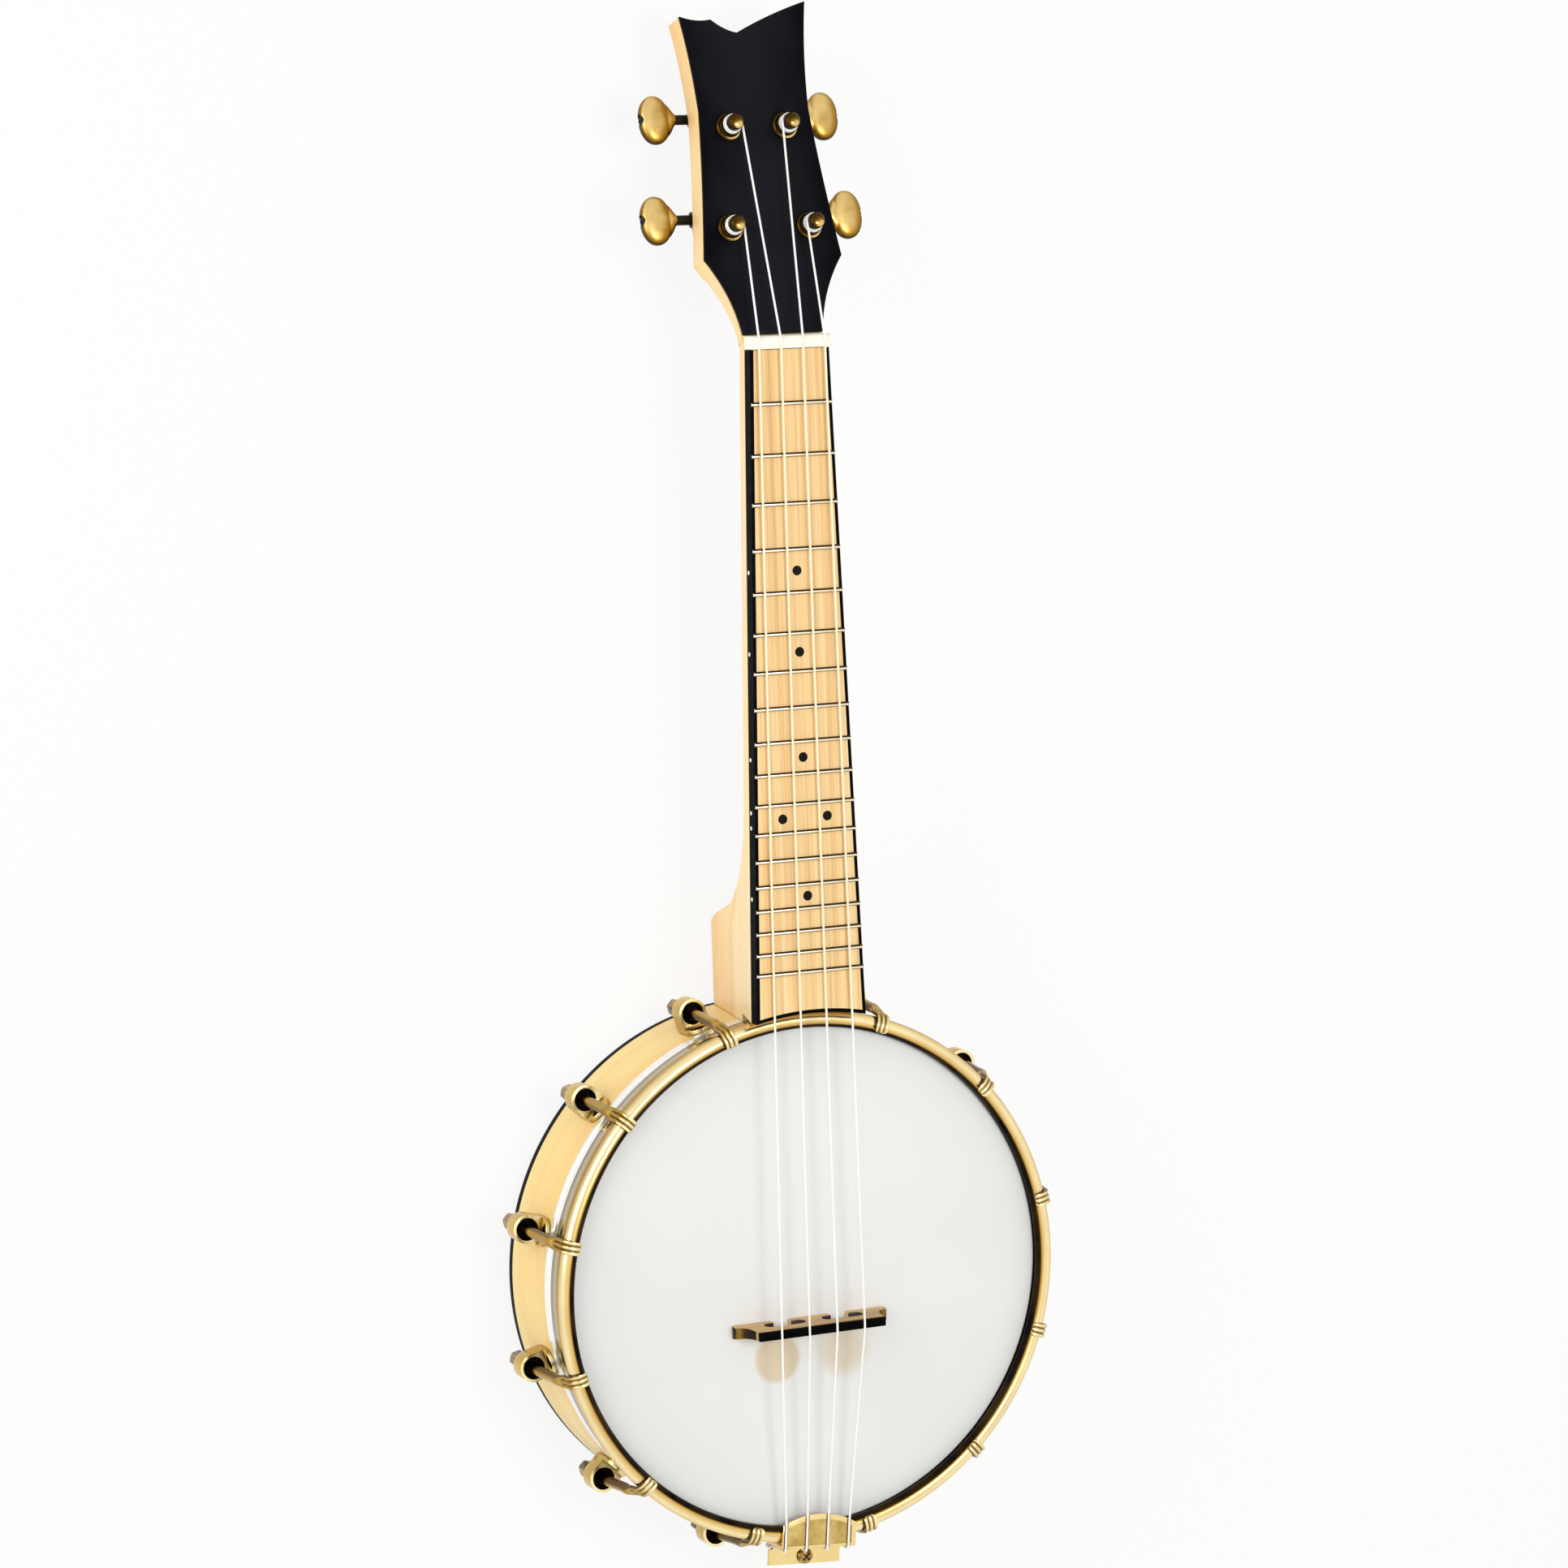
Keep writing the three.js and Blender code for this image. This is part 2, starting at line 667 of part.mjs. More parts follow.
// The rim, hoops and their fits, as one turned cutter for what butts against the pot.
const potClearance = turned([
  [0, -overrun],
  [rimRadius + seatGap, -overrun],
  [rimRadius + seatGap, shoulderHeight],
  [fleshHoopOuter + seatGap, shoulderHeight],
  [fleshHoopOuter + seatGap, skirtBottom - seatGap],
  [boardEndRadius, skirtBottom - seatGap],
  [boardEndRadius, boardTop + overrun],
  [0, boardTop + overrun],
]);

const headOutlineShares = {
  // across over the half-width, along over the length
  throatPull: [0.65, 0.127],
  corner: [1, 0.231],
  flankPull: [0.863, 0.463],
  waist: [0.798, 0.672],
  crownPull: [0.815, 0.836],
  peak: [0.952, 1],
  brow: [0.411, 0.965],
  notch: [-0.106, 0.908],
  dipPull: [-0.295, 0.917],
  hump: [-0.462, 0.949],
  sagPull: [-0.685, 0.94],
  leftTip: [-0.908, 0.959],
};

const throatHalf = boardHalfAt(nutBackY) + stringNutOverhang;

function headPoints() {
  const entries = Object.entries(headOutlineShares);
  return Object.fromEntries(entries.map(([key, [x, y]]) => [key, [x * headHalfWidth, y * headLength]]));
}

// The headstock's outline in its own plane, from a start a little above or below the nut.
function headOutline(start) {
  const at = headPoints();
  const mirror = ([x, y]) => [-x, y];
  const shape = new THREE.Shape();
  shape.moveTo(-throatHalf, start);
  shape.lineTo(throatHalf, start);
  shape.quadraticCurveTo(...at.throatPull, ...at.corner);
  shape.quadraticCurveTo(...at.flankPull, ...at.waist);
  shape.quadraticCurveTo(...at.crownPull, ...at.peak);
  shape.quadraticCurveTo(...at.brow, ...at.notch);
  shape.quadraticCurveTo(...at.dipPull, ...at.hump);
  shape.quadraticCurveTo(...at.sagPull, ...at.leftTip);
  shape.quadraticCurveTo(...mirror(at.crownPull), ...mirror(at.waist));
  shape.quadraticCurveTo(...mirror(at.flankPull), ...mirror(at.corner));
  shape.quadraticCurveTo(...mirror(at.throatPull), -throatHalf, start);
  return shape;
}

const posts = [
  { x: -lowerPostX, y: lowerPostY },
  { x: -upperPostX, y: upperPostY },
  { x: upperPostX, y: upperPostY },
  { x: lowerPostX, y: lowerPostY },
];

function headMatrix() {
  headGroup.updateMatrix();
  return headGroup.matrix;
}

// Carries a solid from the headstock's plane into the instrument's frame.
function headSolid(solid) {
  return solidOf(geometryOf(solid).applyMatrix4(headMatrix()));
}

// The throat behind the nut, in the headstock's frame: the half round of the shaft widens along the first
// curve of the outline and squares off, and its underside runs on level until it meets the slab's back.
function makeThroat() {
  const tilt = rad(headTilt);
  const top = -veneerThickness - seatGap;
  const shaftDepth = (headBase.z - neckTop + neckDepthAtNut) / Math.cos(tilt) + top;
  const at = headPoints();
  const flank = new THREE.QuadraticBezierCurve(
    new THREE.Vector2(throatHalf, top),
    new THREE.Vector2(...at.throatPull),
    new THREE.Vector2(...at.corner),
  );
  const rings = flank.getPoints(outlineSegments).map(({ x: half, y }) => {
    const depth = Math.max(headThickness + top, shaftDepth - y * Math.tan(tilt));
    const square = THREE.MathUtils.smoothstep(y, 0, throatSquareAt);
    const across = THREE.MathUtils.lerp(shaftRoundness, slabRoundness, square);
    const down = THREE.MathUtils.lerp(shaftDropRoundness, slabRoundness, square);
    return Array.from({ length: sectionSteps + 1 }, (_, i) => {
      const angle = (Math.PI * i) / sectionSteps;
      const [c, s] = [Math.cos(angle), Math.max(Math.sin(angle), 0)];
      return new THREE.Vector3(half * Math.sign(c) * Math.abs(c) ** across, y, top - depth * s ** down);
    });
  });
  return headSolid(skinned(rings));
}

function makeNeck() {
  const rings = [];
  const fullDepth = neckTop - heelFoot;
  for (const [along, share] of heelShares) {
    const y = rimRadius + along * heelZone;
    const depth = THREE.MathUtils.lerp(neckDepthAtHeel, fullDepth, share);
    const heel = THREE.MathUtils.smoothstep(share, 0, heelSquareShare);
    rings.push(neckSection(y, neckTop, boardHalfAt(y), depth, heel));
  }
  rings.push(neckSection(nutBackY, neckTop, boardHalfAt(nutBackY), neckDepthAtNut, 0));
  const coreDepth = headThickness - veneerThickness - seatGap;
  const core = extruded(headOutline(-veneerThickness), coreDepth, outlineSegments);
  const belowSquare = block(
    [-headHalfWidth, -overrun, headBack - overrun],
    [headHalfWidth, throatSquareAt, overrun],
  );
  const slab = headSolid(cut(solidOf(core.translate(0, 0, headBack)), belowSquare));
  const bushingHoles = posts.map(({ x, y }) =>
    headSolid(rodAlong("z", bushingRadius + seatGap, headBack - overrun, overrun, [x, y, 0])),
  );
  const bore = rodAlong(
    "y",
    threadDiameter / 2 + seatGap,
    rimRadius - overrun,
    rimRadius + heelBoreDepth,
    [0, 0, coordinatorHeight],
    rodSides,
  );
  const body = joined(skinned(rings), makeThroat(), slab);
  addPart(instrument, "neck", cut(body, potClearance, bore, ...bushingHoles), maple);
}

// Fingerboard: a tapered maple board with its frets, let into a black binding along both sides and its end
function boardPlan(inset, far) {
  const near = rimRadius / 2;
  const shape = new THREE.Shape();
  shape.moveTo(-(boardHalfAt(near) - inset), near);
  shape.lineTo(boardHalfAt(near) - inset, near);
  shape.lineTo(boardHalfAt(far) - inset, far);
  shape.lineTo(-(boardHalfAt(far) - inset), far);
  return shape;
}

function makeFingerboard() {
  const far = nutY - seatGap;
  const hoopCut = (extra) =>
    rodAlong("z", boardEndRadius + extra, boardBottom - overrun, boardTop + overrun, [0, 0, 0], ringSides);
  const inset = boardBindingWidth + glueGap;
  const core = solidOf(extruded(boardPlan(inset, far), boardThickness).translate(0, 0, boardBottom));
  const frets = [];
  for (let n = 1; n <= fretCount; n++) {
    const half = boardHalfAt(fretY(n)) - glueGap;
    const crown = new THREE.Shape();
    crown.moveTo(-fretWidth / 2, -glueGap);
    crown.lineTo(fretWidth / 2, -glueGap);
    crown.lineTo(fretWidth / 2, 0);
    crown.absellipse(0, 0, fretWidth / 2, fretHeight, 0, Math.PI, false, 0);
    const bar = extruded(crown, half * 2, fretSegments)
      .translate(0, 0, -half)
      .rotateX(Math.PI / 2)
      .rotateZ(Math.PI / 2);
    frets.push(solidOf(bar.translate(0, fretY(n), boardTop)));
  }
  addPart(instrument, "fingerboard", joined(cut(core, hoopCut(inset)), ...frets), maple);
  const bindingHeight = boardThickness - glueGap * 2;
  const outer = extruded(boardPlan(0, far), bindingHeight);
  const inner = extruded(boardPlan(boardBindingWidth, far + overrun), bindingHeight + overrun * 2);
  const strip = solidOf(outer.translate(0, 0, boardBottom));
  const pocket = solidOf(inner.translate(0, 0, boardBottom - overrun)).subtract(hoopCut(boardBindingWidth));
  addPart(instrument, "fingerboard_binding", cut(strip, hoopCut(0), pocket), blackWood);
}

// String nut: a rounded bar with four slots
function makeStringNut() {
  const half = boardHalfAt(nutBackY) + stringNutOverhang;
  const side = new THREE.Shape();
  side.moveTo(nutY, boardBottom);
  side.lineTo(nutBackY, boardBottom);
  side.lineTo(nutBackY, nutTop - stringNutLength / 2);
  side.quadraticCurveTo(nutBackY, nutTop, nutY + stringNutLength / 3, nutTop);
  side.lineTo(nutY, nutTop);
  const bar = solidOf(
    extruded(side, half * 2, nutSegments)
      .translate(0, 0, -half)
      .rotateX(Math.PI / 2)
      .rotateZ(Math.PI / 2)
      .applyMatrix4(new THREE.Matrix4().makeScale(-1, 1, 1)),
  );
  const floor = nutStringZ - stringRadius - seatGap;
  const slots = stringsAt(nutStringSpacing).map((x) =>
    block(
      [x - stringSlot / 2, nutY - overrun, floor],
      [x + stringSlot / 2, nutBackY + overrun, nutTop + overrun],
    ),
  );
  addPart(instrument, "string_nut", cut(bar, ...slots), bone);
}

function makeVeneer() {
  const tilt = rad(headTilt);
  const start = (seatGap + veneerThickness * Math.sin(tilt)) / Math.cos(tilt);
  const sheet = extruded(headOutline(start), veneerThickness, outlineSegments);
  const holes = posts.map(({ x, y }) =>
    rodAlong("z", bushingRadius + seatGap, -overrun, overrun, [x, y, 0]),
  );
  const face = cut(solidOf(sheet.translate(0, 0, -veneerThickness)), ...holes);
  addPart(headGroup, "headstock_veneer", face, blackWood);
}

// Machine heads: a closed housing on the back with its bushing through the headstock, a post and a button
function roundedPlan(width, low, high, radius) {
  const half = width / 2;
  const shape = new THREE.Shape();
  shape.absarc(half - radius, low + radius, radius, -Math.PI / 2, 0, false);
  shape.absarc(half - radius, high - radius, radius, 0, Math.PI / 2, false);
  shape.absarc(radius - half, high - radius, radius, Math.PI / 2, Math.PI, false);
  shape.absarc(radius - half, low + radius, radius, Math.PI, Math.PI * 1.5, false);
  return shape;
}

const wormZ = headBack - wormDepth;
const housingTop = headBack - seatGap;
const collarTop = seatGap + collarThickness;

function makeTuner(post, number) {
  const side = Math.sign(post.x);
  const low = wormOffset + wormBossRadius + seatGap * 2 - housingLength;
  const bevel = housingRound / 2;
  const high = low + housingLength;
  const plan = roundedPlan(housingWidth - housingRound, low + bevel, high - bevel, housingRound);
  const shell = new THREE.ExtrudeGeometry(plan, {
    depth: housingDepth - bevel,
    bevelEnabled: true,
    bevelThickness: bevel,
    bevelSize: bevel,
    bevelSegments,
    curveSegments: bevelSegments,
  });
  shell.rotateY(Math.PI).translate(0, 0, housingTop);
  const flush = block(
    [-housingWidth, -housingLength * 2, housingTop],
    [housingWidth, housingLength * 2, housingTop + housingRound * 2],
  );
  const bossEnd = housingWidth / 2 + wormBossLength;
  const boss = rodAlong("x", wormBossRadius, 0, bossEnd, [0, wormOffset, wormZ]);
  const ear = rodAlong("z", earRadius, housingTop - earThickness, housingTop, [0, low, 0]);
  const bushing = rodAlong("z", bushingRadius, housingTop - seatGap, collarTop, [0, 0, 0]);
  const collar = rodAlong("z", collarRadius, seatGap, collarTop, [0, 0, 0]);
  const postBore = rodAlong("z", postRadius + seatGap, wormZ, collarTop + overrun, [0, 0, 0]);
  const shaftBore = rodAlong(
    "x",
    shaftRadius + seatGap,
    bossEnd - shaftSocket,
    bossEnd + overrun,
    [0, wormOffset, wormZ],
    rodSides,
  );
  const body = cut(joined(cut(solidOf(shell), flush), boss, ear, bushing, collar), postBore, shaftBore);
  const spindle = turned(
    [
      [0, wormZ + seatGap],
      [postRadius, wormZ + seatGap],
      [postRadius, collarTop],
      [postWaist, collarTop + seatGap],
      [postWaist, postHeight - postCapHeight - seatGap],
      [postCapRadius, postHeight - postCapHeight],
      [postCapRadius, postHeight - postCapHeight * (1 - postCapEdgeShare)],
      [postCapRadius * postCapCrownShare, postHeight],
      [0, postHeight],
    ],
    roundSides,
  );
  const button = makeButton(bossEnd);
  for (const [name, solid, material] of [
    ["tuner_body_", body, brass],
    ["tuner_post_", spindle, brass],
    ["tuner_button_", button, brass],
  ]) {
    const placed = side > 0 ? solid : solid.mirror([1, 0, 0]);
    addPart(headGroup, name + number, placed, material).position.set(post.x, post.y, 0);
  }
}

// A pillow-shaped oval button on its round shaft, with a screw in its outer end.
function makeButton(bossEnd) {
  const bevel = buttonThickness * buttonRoundShare;
  const oval = new THREE.Shape();
  oval.absellipse(0, 0, buttonWidth / 2 - bevel, buttonLength / 2 - bevel, 0, Math.PI * 2, false, 0);
  const knob = new THREE.ExtrudeGeometry(oval, {
    depth: buttonThickness - bevel * 2,
    bevelEnabled: true,
    bevelThickness: bevel,
    bevelSize: bevel,
    bevelSegments,
    curveSegments: buttonSegments,
  });
  knob.translate(buttonReach, wormOffset, wormZ + bevel - buttonThickness / 2);
  const axis = [0, wormOffset, wormZ];
  const shaft = rodAlong("x", shaftRadius, bossEnd - shaftSocket + seatGap, buttonReach, axis, rodSides);
  const outerEnd = buttonReach + buttonWidth / 2;
  const screw = rodAlong("x", buttonScrewRadius, buttonReach, outerEnd + buttonScrewHeight, axis, rodSides);
  return joined(solidOf(knob), shaft, screw);
}

// Bridge: a wedge with three feet and two keyhole arches, and a cap with four notches
function makeBridge() {
  const bodyHeight = bridgeHeight - bridgeCapThickness - glueGap;
  const archEnd = archHeight / 2;
  const front = new THREE.Shape();
  front.moveTo(-bridgeHalfBase, 0);
  for (const side of [-1, 1]) {
    const near = side < 0 ? centreFootHalf + footGap : centreFootHalf;
    const far = side < 0 ? centreFootHalf : centreFootHalf + footGap;
    const middle = side * (centreFootHalf + footGap / 2);
    const reach = archWidth / 2 - archEnd;
    front.lineTo(side * near, 0);
    front.lineTo(side * near, archFloor);
    front.absarc(middle - reach, archFloor + archEnd, archEnd, -Math.PI / 2, Math.PI / 2, true);
    front.absarc(middle + reach, archFloor + archEnd, archEnd, Math.PI / 2, -Math.PI / 2, true);
    front.lineTo(side * far, archFloor);
    front.lineTo(side * far, 0);
  }
  front.lineTo(bridgeHalfBase, 0);
  front.lineTo(bridgeHalfBase, bridgeFootHeight);
  front.quadraticCurveTo(bridgeHalfTop, bridgeFootHeight, bridgeHalfTop, bodyHeight);
  front.lineTo(-bridgeHalfTop, bodyHeight);
  front.quadraticCurveTo(-bridgeHalfTop, bridgeFootHeight, -bridgeHalfBase, bridgeFootHeight);
  const wedge = extruded(front, bridgeBaseDepth, archSegments)
    .rotateX(Math.PI / 2)
    .translate(0, bridgeBaseDepth / 2, 0);
  const place = wedge.getAttribute("position");
  for (let i = 0; i < place.count; i++) {
    const share = place.getZ(i) / bridgeHeight;
    place.setY(i, place.getY(i) * THREE.MathUtils.lerp(1, bridgeTopDepth / bridgeBaseDepth, share));
  }
  addPart(instrument, "bridge_body", solidOf(wedge.translate(0, bridgeY, bridgeBase)), bridgeWood);
  const capBottom = bridgeBase + bodyHeight + glueGap;
  const cap = block(
    [-bridgeHalfTop, bridgeY - bridgeTopDepth / 2, capBottom],
    [bridgeHalfTop, bridgeY + bridgeTopDepth / 2, bridgeTop],
  );
  const floor = bridgeStringZ - stringRadius - seatGap;
  const notches = stringsAt(bridgeStringSpacing).map((x) =>
    block(
      [x - stringSlot / 2, bridgeY - bridgeTopDepth, floor],
      [x + stringSlot / 2, bridgeY + bridgeTopDepth, bridgeTop + overrun],
    ),
  );
  addPart(instrument, "bridge_cap", cut(cap, ...notches), blackWood);
}

// Tailpiece, in a frame that turns about its screw: a bent plate over the hoop, a wall behind the hoop and
// a flange with string slots that the screw draws down towards a bracket on the rim
const tailPlateBottom = hoopTop + seatGap;
const tailPlateTop = tailPlateBottom + tailSheet;
const tailWallInner = hoopOuter + seatGap * 2;
const tailWallOuter = tailWallInner + tailSheet;
const tailFlangeTop = tailPlateTop - tailWallHeight;
const tailFlangeBottom = tailFlangeTop - tailSheet;
const tailFlangeEnd = tailWallOuter + tailFlangeLength;
const tailFrontY = tailWallOuter - tailPlateLength;
const screwAt = tailWallOuter + tailScrewSetback;
tailGroup.position.set(-tailShift, -screwAt, 0);
tailGroup.rotation.z = -rad(tailTurn);
const slotAt = tailWallOuter + tailSlotLength / 2 + seatGap;
const tailStringsAt = stringsAt(tailStringSpacing).map((x) => x - tailStringShift);

function makeTailpiece() {
  const local = (distance) => screwAt - distance; // distance from the pot's axis to the frame's Y
  const plan = new THREE.Shape();
  plan.moveTo(-tailPlateHalf, local(tailWallOuter));
  plan.lineTo(tailPlateHalf, local(tailWallOuter));
  plan.lineTo(tailPlateHalf, local(tailFrontY + tailArch));
  plan.quadraticCurveTo(0, local(tailFrontY - tailArch), -tailPlateHalf, local(tailFrontY + tailArch));
  const plate = solidOf(extruded(plan, tailSheet, roundSides).translate(0, 0, tailPlateBottom));
  const wall = block(
    [-tailPlateHalf, local(tailWallOuter), tailFlangeBottom],
    [tailPlateHalf, local(tailWallInner), tailPlateTop],
  );
  const flange = block(
    [-tailFlangeHalf, local(tailFlangeEnd), tailFlangeBottom],
    [tailFlangeHalf, local(tailWallInner), tailFlangeTop],
  );
  const holeEnds = [tailFlangeBottom - overrun, tailFlangeTop + overrun];
  const tools = [rodAlong("z", screwRadius + seatGap, ...holeEnds, [0, 0, 0], rodSides)];
  for (const x of tailStringsAt) {
    tools.push(
      block(
        [x - tailGrooveWidth / 2, local(tailWallOuter) - overrun, tailPlateTop - tailGrooveDepth],
        [x + tailGrooveWidth / 2, local(tailFrontY - tailArch * 2), tailPlateTop + overrun],
      ),
      block(
        [x - tailSlotWidth / 2, local(slotAt + tailSlotLength / 2), tailFlangeBottom - overrun],
        [x + tailSlotWidth / 2, local(slotAt - tailSlotLength / 2), tailFlangeTop + overrun],
      ),
    );
  }
  addPart(tailGroup, "tailpiece", cut(joined(plate, wall, flange), ...tools), brass);
  const headBottom = tailFlangeTop + seatGap;
  const nutTopZ = bracketTop - bracketSheet - seatGap;
  const dome = screwDomeShares.map(([out, up]) => [
    screwHeadRadius * out,
    headBottom + screwHeadHeight * up,
  ]);
  const screw = joined(
    turned([[0, headBottom], ...dome], roundSides),
    rodAlong("z", screwRadius, nutTopZ - screwNutHeight * 2, headBottom + seatGap, [0, 0, 0], rodSides),
    rodAlong("z", screwNutRadius, nutTopZ - screwNutHeight, nutTopZ, [0, 0, 0], hexSides),
  );
  addPart(tailGroup, "tailpiece_screw", screw, darkSteel);
}

// The bracket stands on the neck's line, where the bolt is, and its shelf reaches the screw.
function makeBracket() {
  const seat = rimRadius + seatGap;
  const upright = block(
    [-bracketHalfWidth, -(seat + bracketSheet), bracketBottom],
    [bracketHalfWidth, -(seat - bracketSheet), bracketTop],
  );
  const shelf = block(
    [-bracketHalfWidth, -(screwAt + bracketPastScrew), bracketTop - bracketSheet],
    [bracketHalfWidth, -seat, bracketTop],
  );
  const boltAt = [0, 0, coordinatorHeight];
  const screwPlace = tailGroup.position.toArray();
  const bolt = threadDiameter / 2 + seatGap;
  const boltHole = rodAlong("y", bolt, -rimRadius - overrun * 2, 0, boltAt, rodSides);
  const screwHole = rodAlong(
    "z",
    screwRadius + seatGap,
    bracketTop - overrun,
    bracketTop + overrun,
    screwPlace,
    rodSides,
  );
  const angle = joined(upright, shelf);
  addPart(instrument, "tailpiece_bracket", cut(angle, rimSeat, boltHole, screwHole), brass);
}

// Strings: from a knot under the tailpiece over plate, bridge and nut to the inner side of a post, where
// each winds down in turns that stay apart
function stringRoute(i) {
  instrument.updateMatrixWorld(true);
  const tailX = tailStringsAt[i];
  const lift = stringRadius + seatGap;
  const behind = tailWallOuter + lift;
  const onPlate = tailPlateTop - tailGrooveDepth + lift;
  const turnIn = lift * Math.SQRT1_2;
  const inTail = [
    [slotAt, tailFlangeBottom - tailSheet],
    [slotAt, tailFlangeTop],
    [behind, tailFlangeTop + tailSlotLength],
    [behind, onPlate - lift * 2],
    [tailWallOuter + turnIn, onPlate - lift + turnIn],
    [tailWallOuter - lift, onPlate],
    [tailFrontY + tailArch, onPlate],
  ].map(([distance, z]) => {
    const place = new THREE.Vector3(tailX, screwAt - distance, z);
    return place.applyMatrix4(tailGroup.matrixWorld);
  });
  const bridgeX = stringsAt(bridgeStringSpacing)[i];
  const nutX = stringsAt(nutStringSpacing)[i];
  const half = bridgeTopDepth / 2;
  const onNut = new THREE.Vector3(nutX, nutY, nutStringZ);
  const offNut = new THREE.Vector3(nutX, nutY + (stringNutLength * 2) / 3, nutStringZ);
  const route = [
    ...inTail,
    new THREE.Vector3(bridgeX, bridgeY - half, bridgeStringZ),
    new THREE.Vector3(bridgeX, bridgeY + half, bridgeStringZ),
    onNut,
    offNut,
  ];
  // On the post: the tangent from the nut to the winding, then a helix down the post.
  const post = posts[i];
  const side = -Math.sign(post.x);
  const from = headGroup.worldToLocal(offNut.clone());
  const winding = postWaist + seatGap + stringRadius;
  const toNut = new THREE.Vector2(from.x - post.x, from.y - post.y);
  const tangent = toNut.angle() + side * Math.acos(winding / toNut.length());
  const firstZ = postHeight - postCapHeight - seatGap - stringRadius - glueGap;
  const count = Math.round(windingTurns * windingSteps);
  for (let k = 0; k <= count; k++) {
    const turnShare = k / windingSteps;
    const angle = tangent + side * turnShare * 2 * Math.PI;
    route.push(
      headGroup.localToWorld(
        new THREE.Vector3(
          post.x + winding * Math.cos(angle),
          post.y + winding * Math.sin(angle),
          firstZ - turnShare * windingPitch,
        ),
      ),
    );
  }
  return route;
}

// The least gap of a tube to itself, between points at least half a turn apart.
function leastGap(points) {
  let least = Infinity;
  for (let a = 0; a < points.length; a++)
    for (let b = a + windingSteps / 2; b < points.length; b++)
      least = Math.min(least, points[a].distanceTo(points[b]));
  return least - stringDiameter;
}

function makeStrings() {
  for (let i = 0; i < posts.length; i++) {
    const route = stringRoute(i);
    const name = "string_" + (i + 1);
    console.log(name + ": least gap to itself " + leastGap(route).toFixed(2) + " mm");
    addPart(instrument, name, tube(route, stringRadius, stringSides), nylon);
  }
}

makeRim();
makeHead();
makeHoops();
makeBrackets();
makeCoordinator();
makeNeck();
makeFingerboard();
makeStringNut();
makeVeneer();
posts.forEach((post, i) => makeTuner(post, i + 1));
makeBridge();
makeTailpiece();
makeBracket();
makeStrings();

// The part's origin lies under the middle of its overall box, on the plane of the rim's back.
const banjoUkulele = new THREE.Group();
const reach = new THREE.Box3().setFromObject(instrument);
const middle = reach.getCenter(new THREE.Vector3());
instrument.position.set(-middle.x, -middle.y, -reach.min.z);
banjoUkulele.add(instrument);

export default banjoUkulele;
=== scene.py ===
# Banjo ukulele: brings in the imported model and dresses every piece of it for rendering.
import math

import bmesh
import bpy
from mathutils import Matrix, Vector


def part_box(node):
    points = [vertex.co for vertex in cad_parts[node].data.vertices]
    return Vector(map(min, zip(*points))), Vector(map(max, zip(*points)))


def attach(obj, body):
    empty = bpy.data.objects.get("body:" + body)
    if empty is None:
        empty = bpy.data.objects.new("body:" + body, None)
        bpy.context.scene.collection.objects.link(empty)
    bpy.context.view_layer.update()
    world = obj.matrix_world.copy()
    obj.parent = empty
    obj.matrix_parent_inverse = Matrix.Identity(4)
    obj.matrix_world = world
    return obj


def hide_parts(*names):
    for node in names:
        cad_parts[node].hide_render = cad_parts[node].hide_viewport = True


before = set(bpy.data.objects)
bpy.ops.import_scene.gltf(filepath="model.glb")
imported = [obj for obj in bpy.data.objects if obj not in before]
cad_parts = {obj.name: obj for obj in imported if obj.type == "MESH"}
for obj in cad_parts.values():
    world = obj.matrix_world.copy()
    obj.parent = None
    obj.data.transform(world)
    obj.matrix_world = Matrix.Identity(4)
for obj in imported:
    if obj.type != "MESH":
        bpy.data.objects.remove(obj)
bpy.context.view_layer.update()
mm = 0.001
seat = 0.3  # gap between pieces that bear on each other
glue = 0.15  # gap between glued or inlaid ones
past = 6  # how far a cutter reaches beyond what it cuts

# middle of the pot, on the plane of the rim's back; every place below counts from it in millimetres
rimLow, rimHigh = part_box("rim_shell")
pot = Vector(((rimLow.x + rimHigh.x) / 2, (rimLow.y + rimHigh.y) / 2, 0))


def spot(x, y, z):
    return pot + Vector((x, y, z)) * mm


def local(x, y, z):
    return Vector((x, y, z)) * mm


def smoothStep(value, high):
    share = min(1, max(0, value / high))
    return share * share * (3 - 2 * share)


def arcPoints(centre, radius, start, end, count):
    turns = [math.radians(start + (end - start) * i / count) for i in range(count + 1)]
    return [(centre[0] + radius * math.cos(turn), centre[1] + radius * math.sin(turn)) for turn in turns]


# a place on the curve that leaves start and reaches end, drawn towards pull
def curvePoint(start, pull, end, share):
    rest = 1 - share
    return tuple(a * rest ** 2 + 2 * p * share * rest + b * share ** 2 for a, p, b in zip(start, pull, end))


# camera and stage
shot = {"place": (-766.777, 422.144, 1814.223), "right": (0.9147174, -0.0331834, 0.4027294),
        "up": (0.0768824, 0.9927095, -0.0928271), "back": (-0.3967130, 0.1158733, 0.9105999),
        "lens": 111.684, "sensor": 36, "farEnd": 20}
bpy.ops.object.camera_add()
camera = bpy.context.object
camera.name = "camera"
camera.matrix_world = Matrix((shot["right"], shot["up"], shot["back"])).transposed().to_4x4()
camera.location = spot(*shot["place"])
camera.data.lens = shot["lens"]
camera.data.sensor_width = shot["sensor"]
camera.data.clip_end = shot["farEnd"]
bpy.context.scene.camera = camera
bpy.context.scene.view_settings.view_transform = "Standard"
print("camera is set")


# small helpers for modelling
def deselect():
    if bpy.context.object and bpy.context.object.mode != "OBJECT":
        bpy.ops.object.mode_set(mode="OBJECT")
    bpy.ops.object.select_all(action="DESELECT")


def pick(*pieces):
    deselect()
    for piece in pieces:
        piece.select_set(True)
    bpy.context.view_layer.objects.active = pieces[-1]


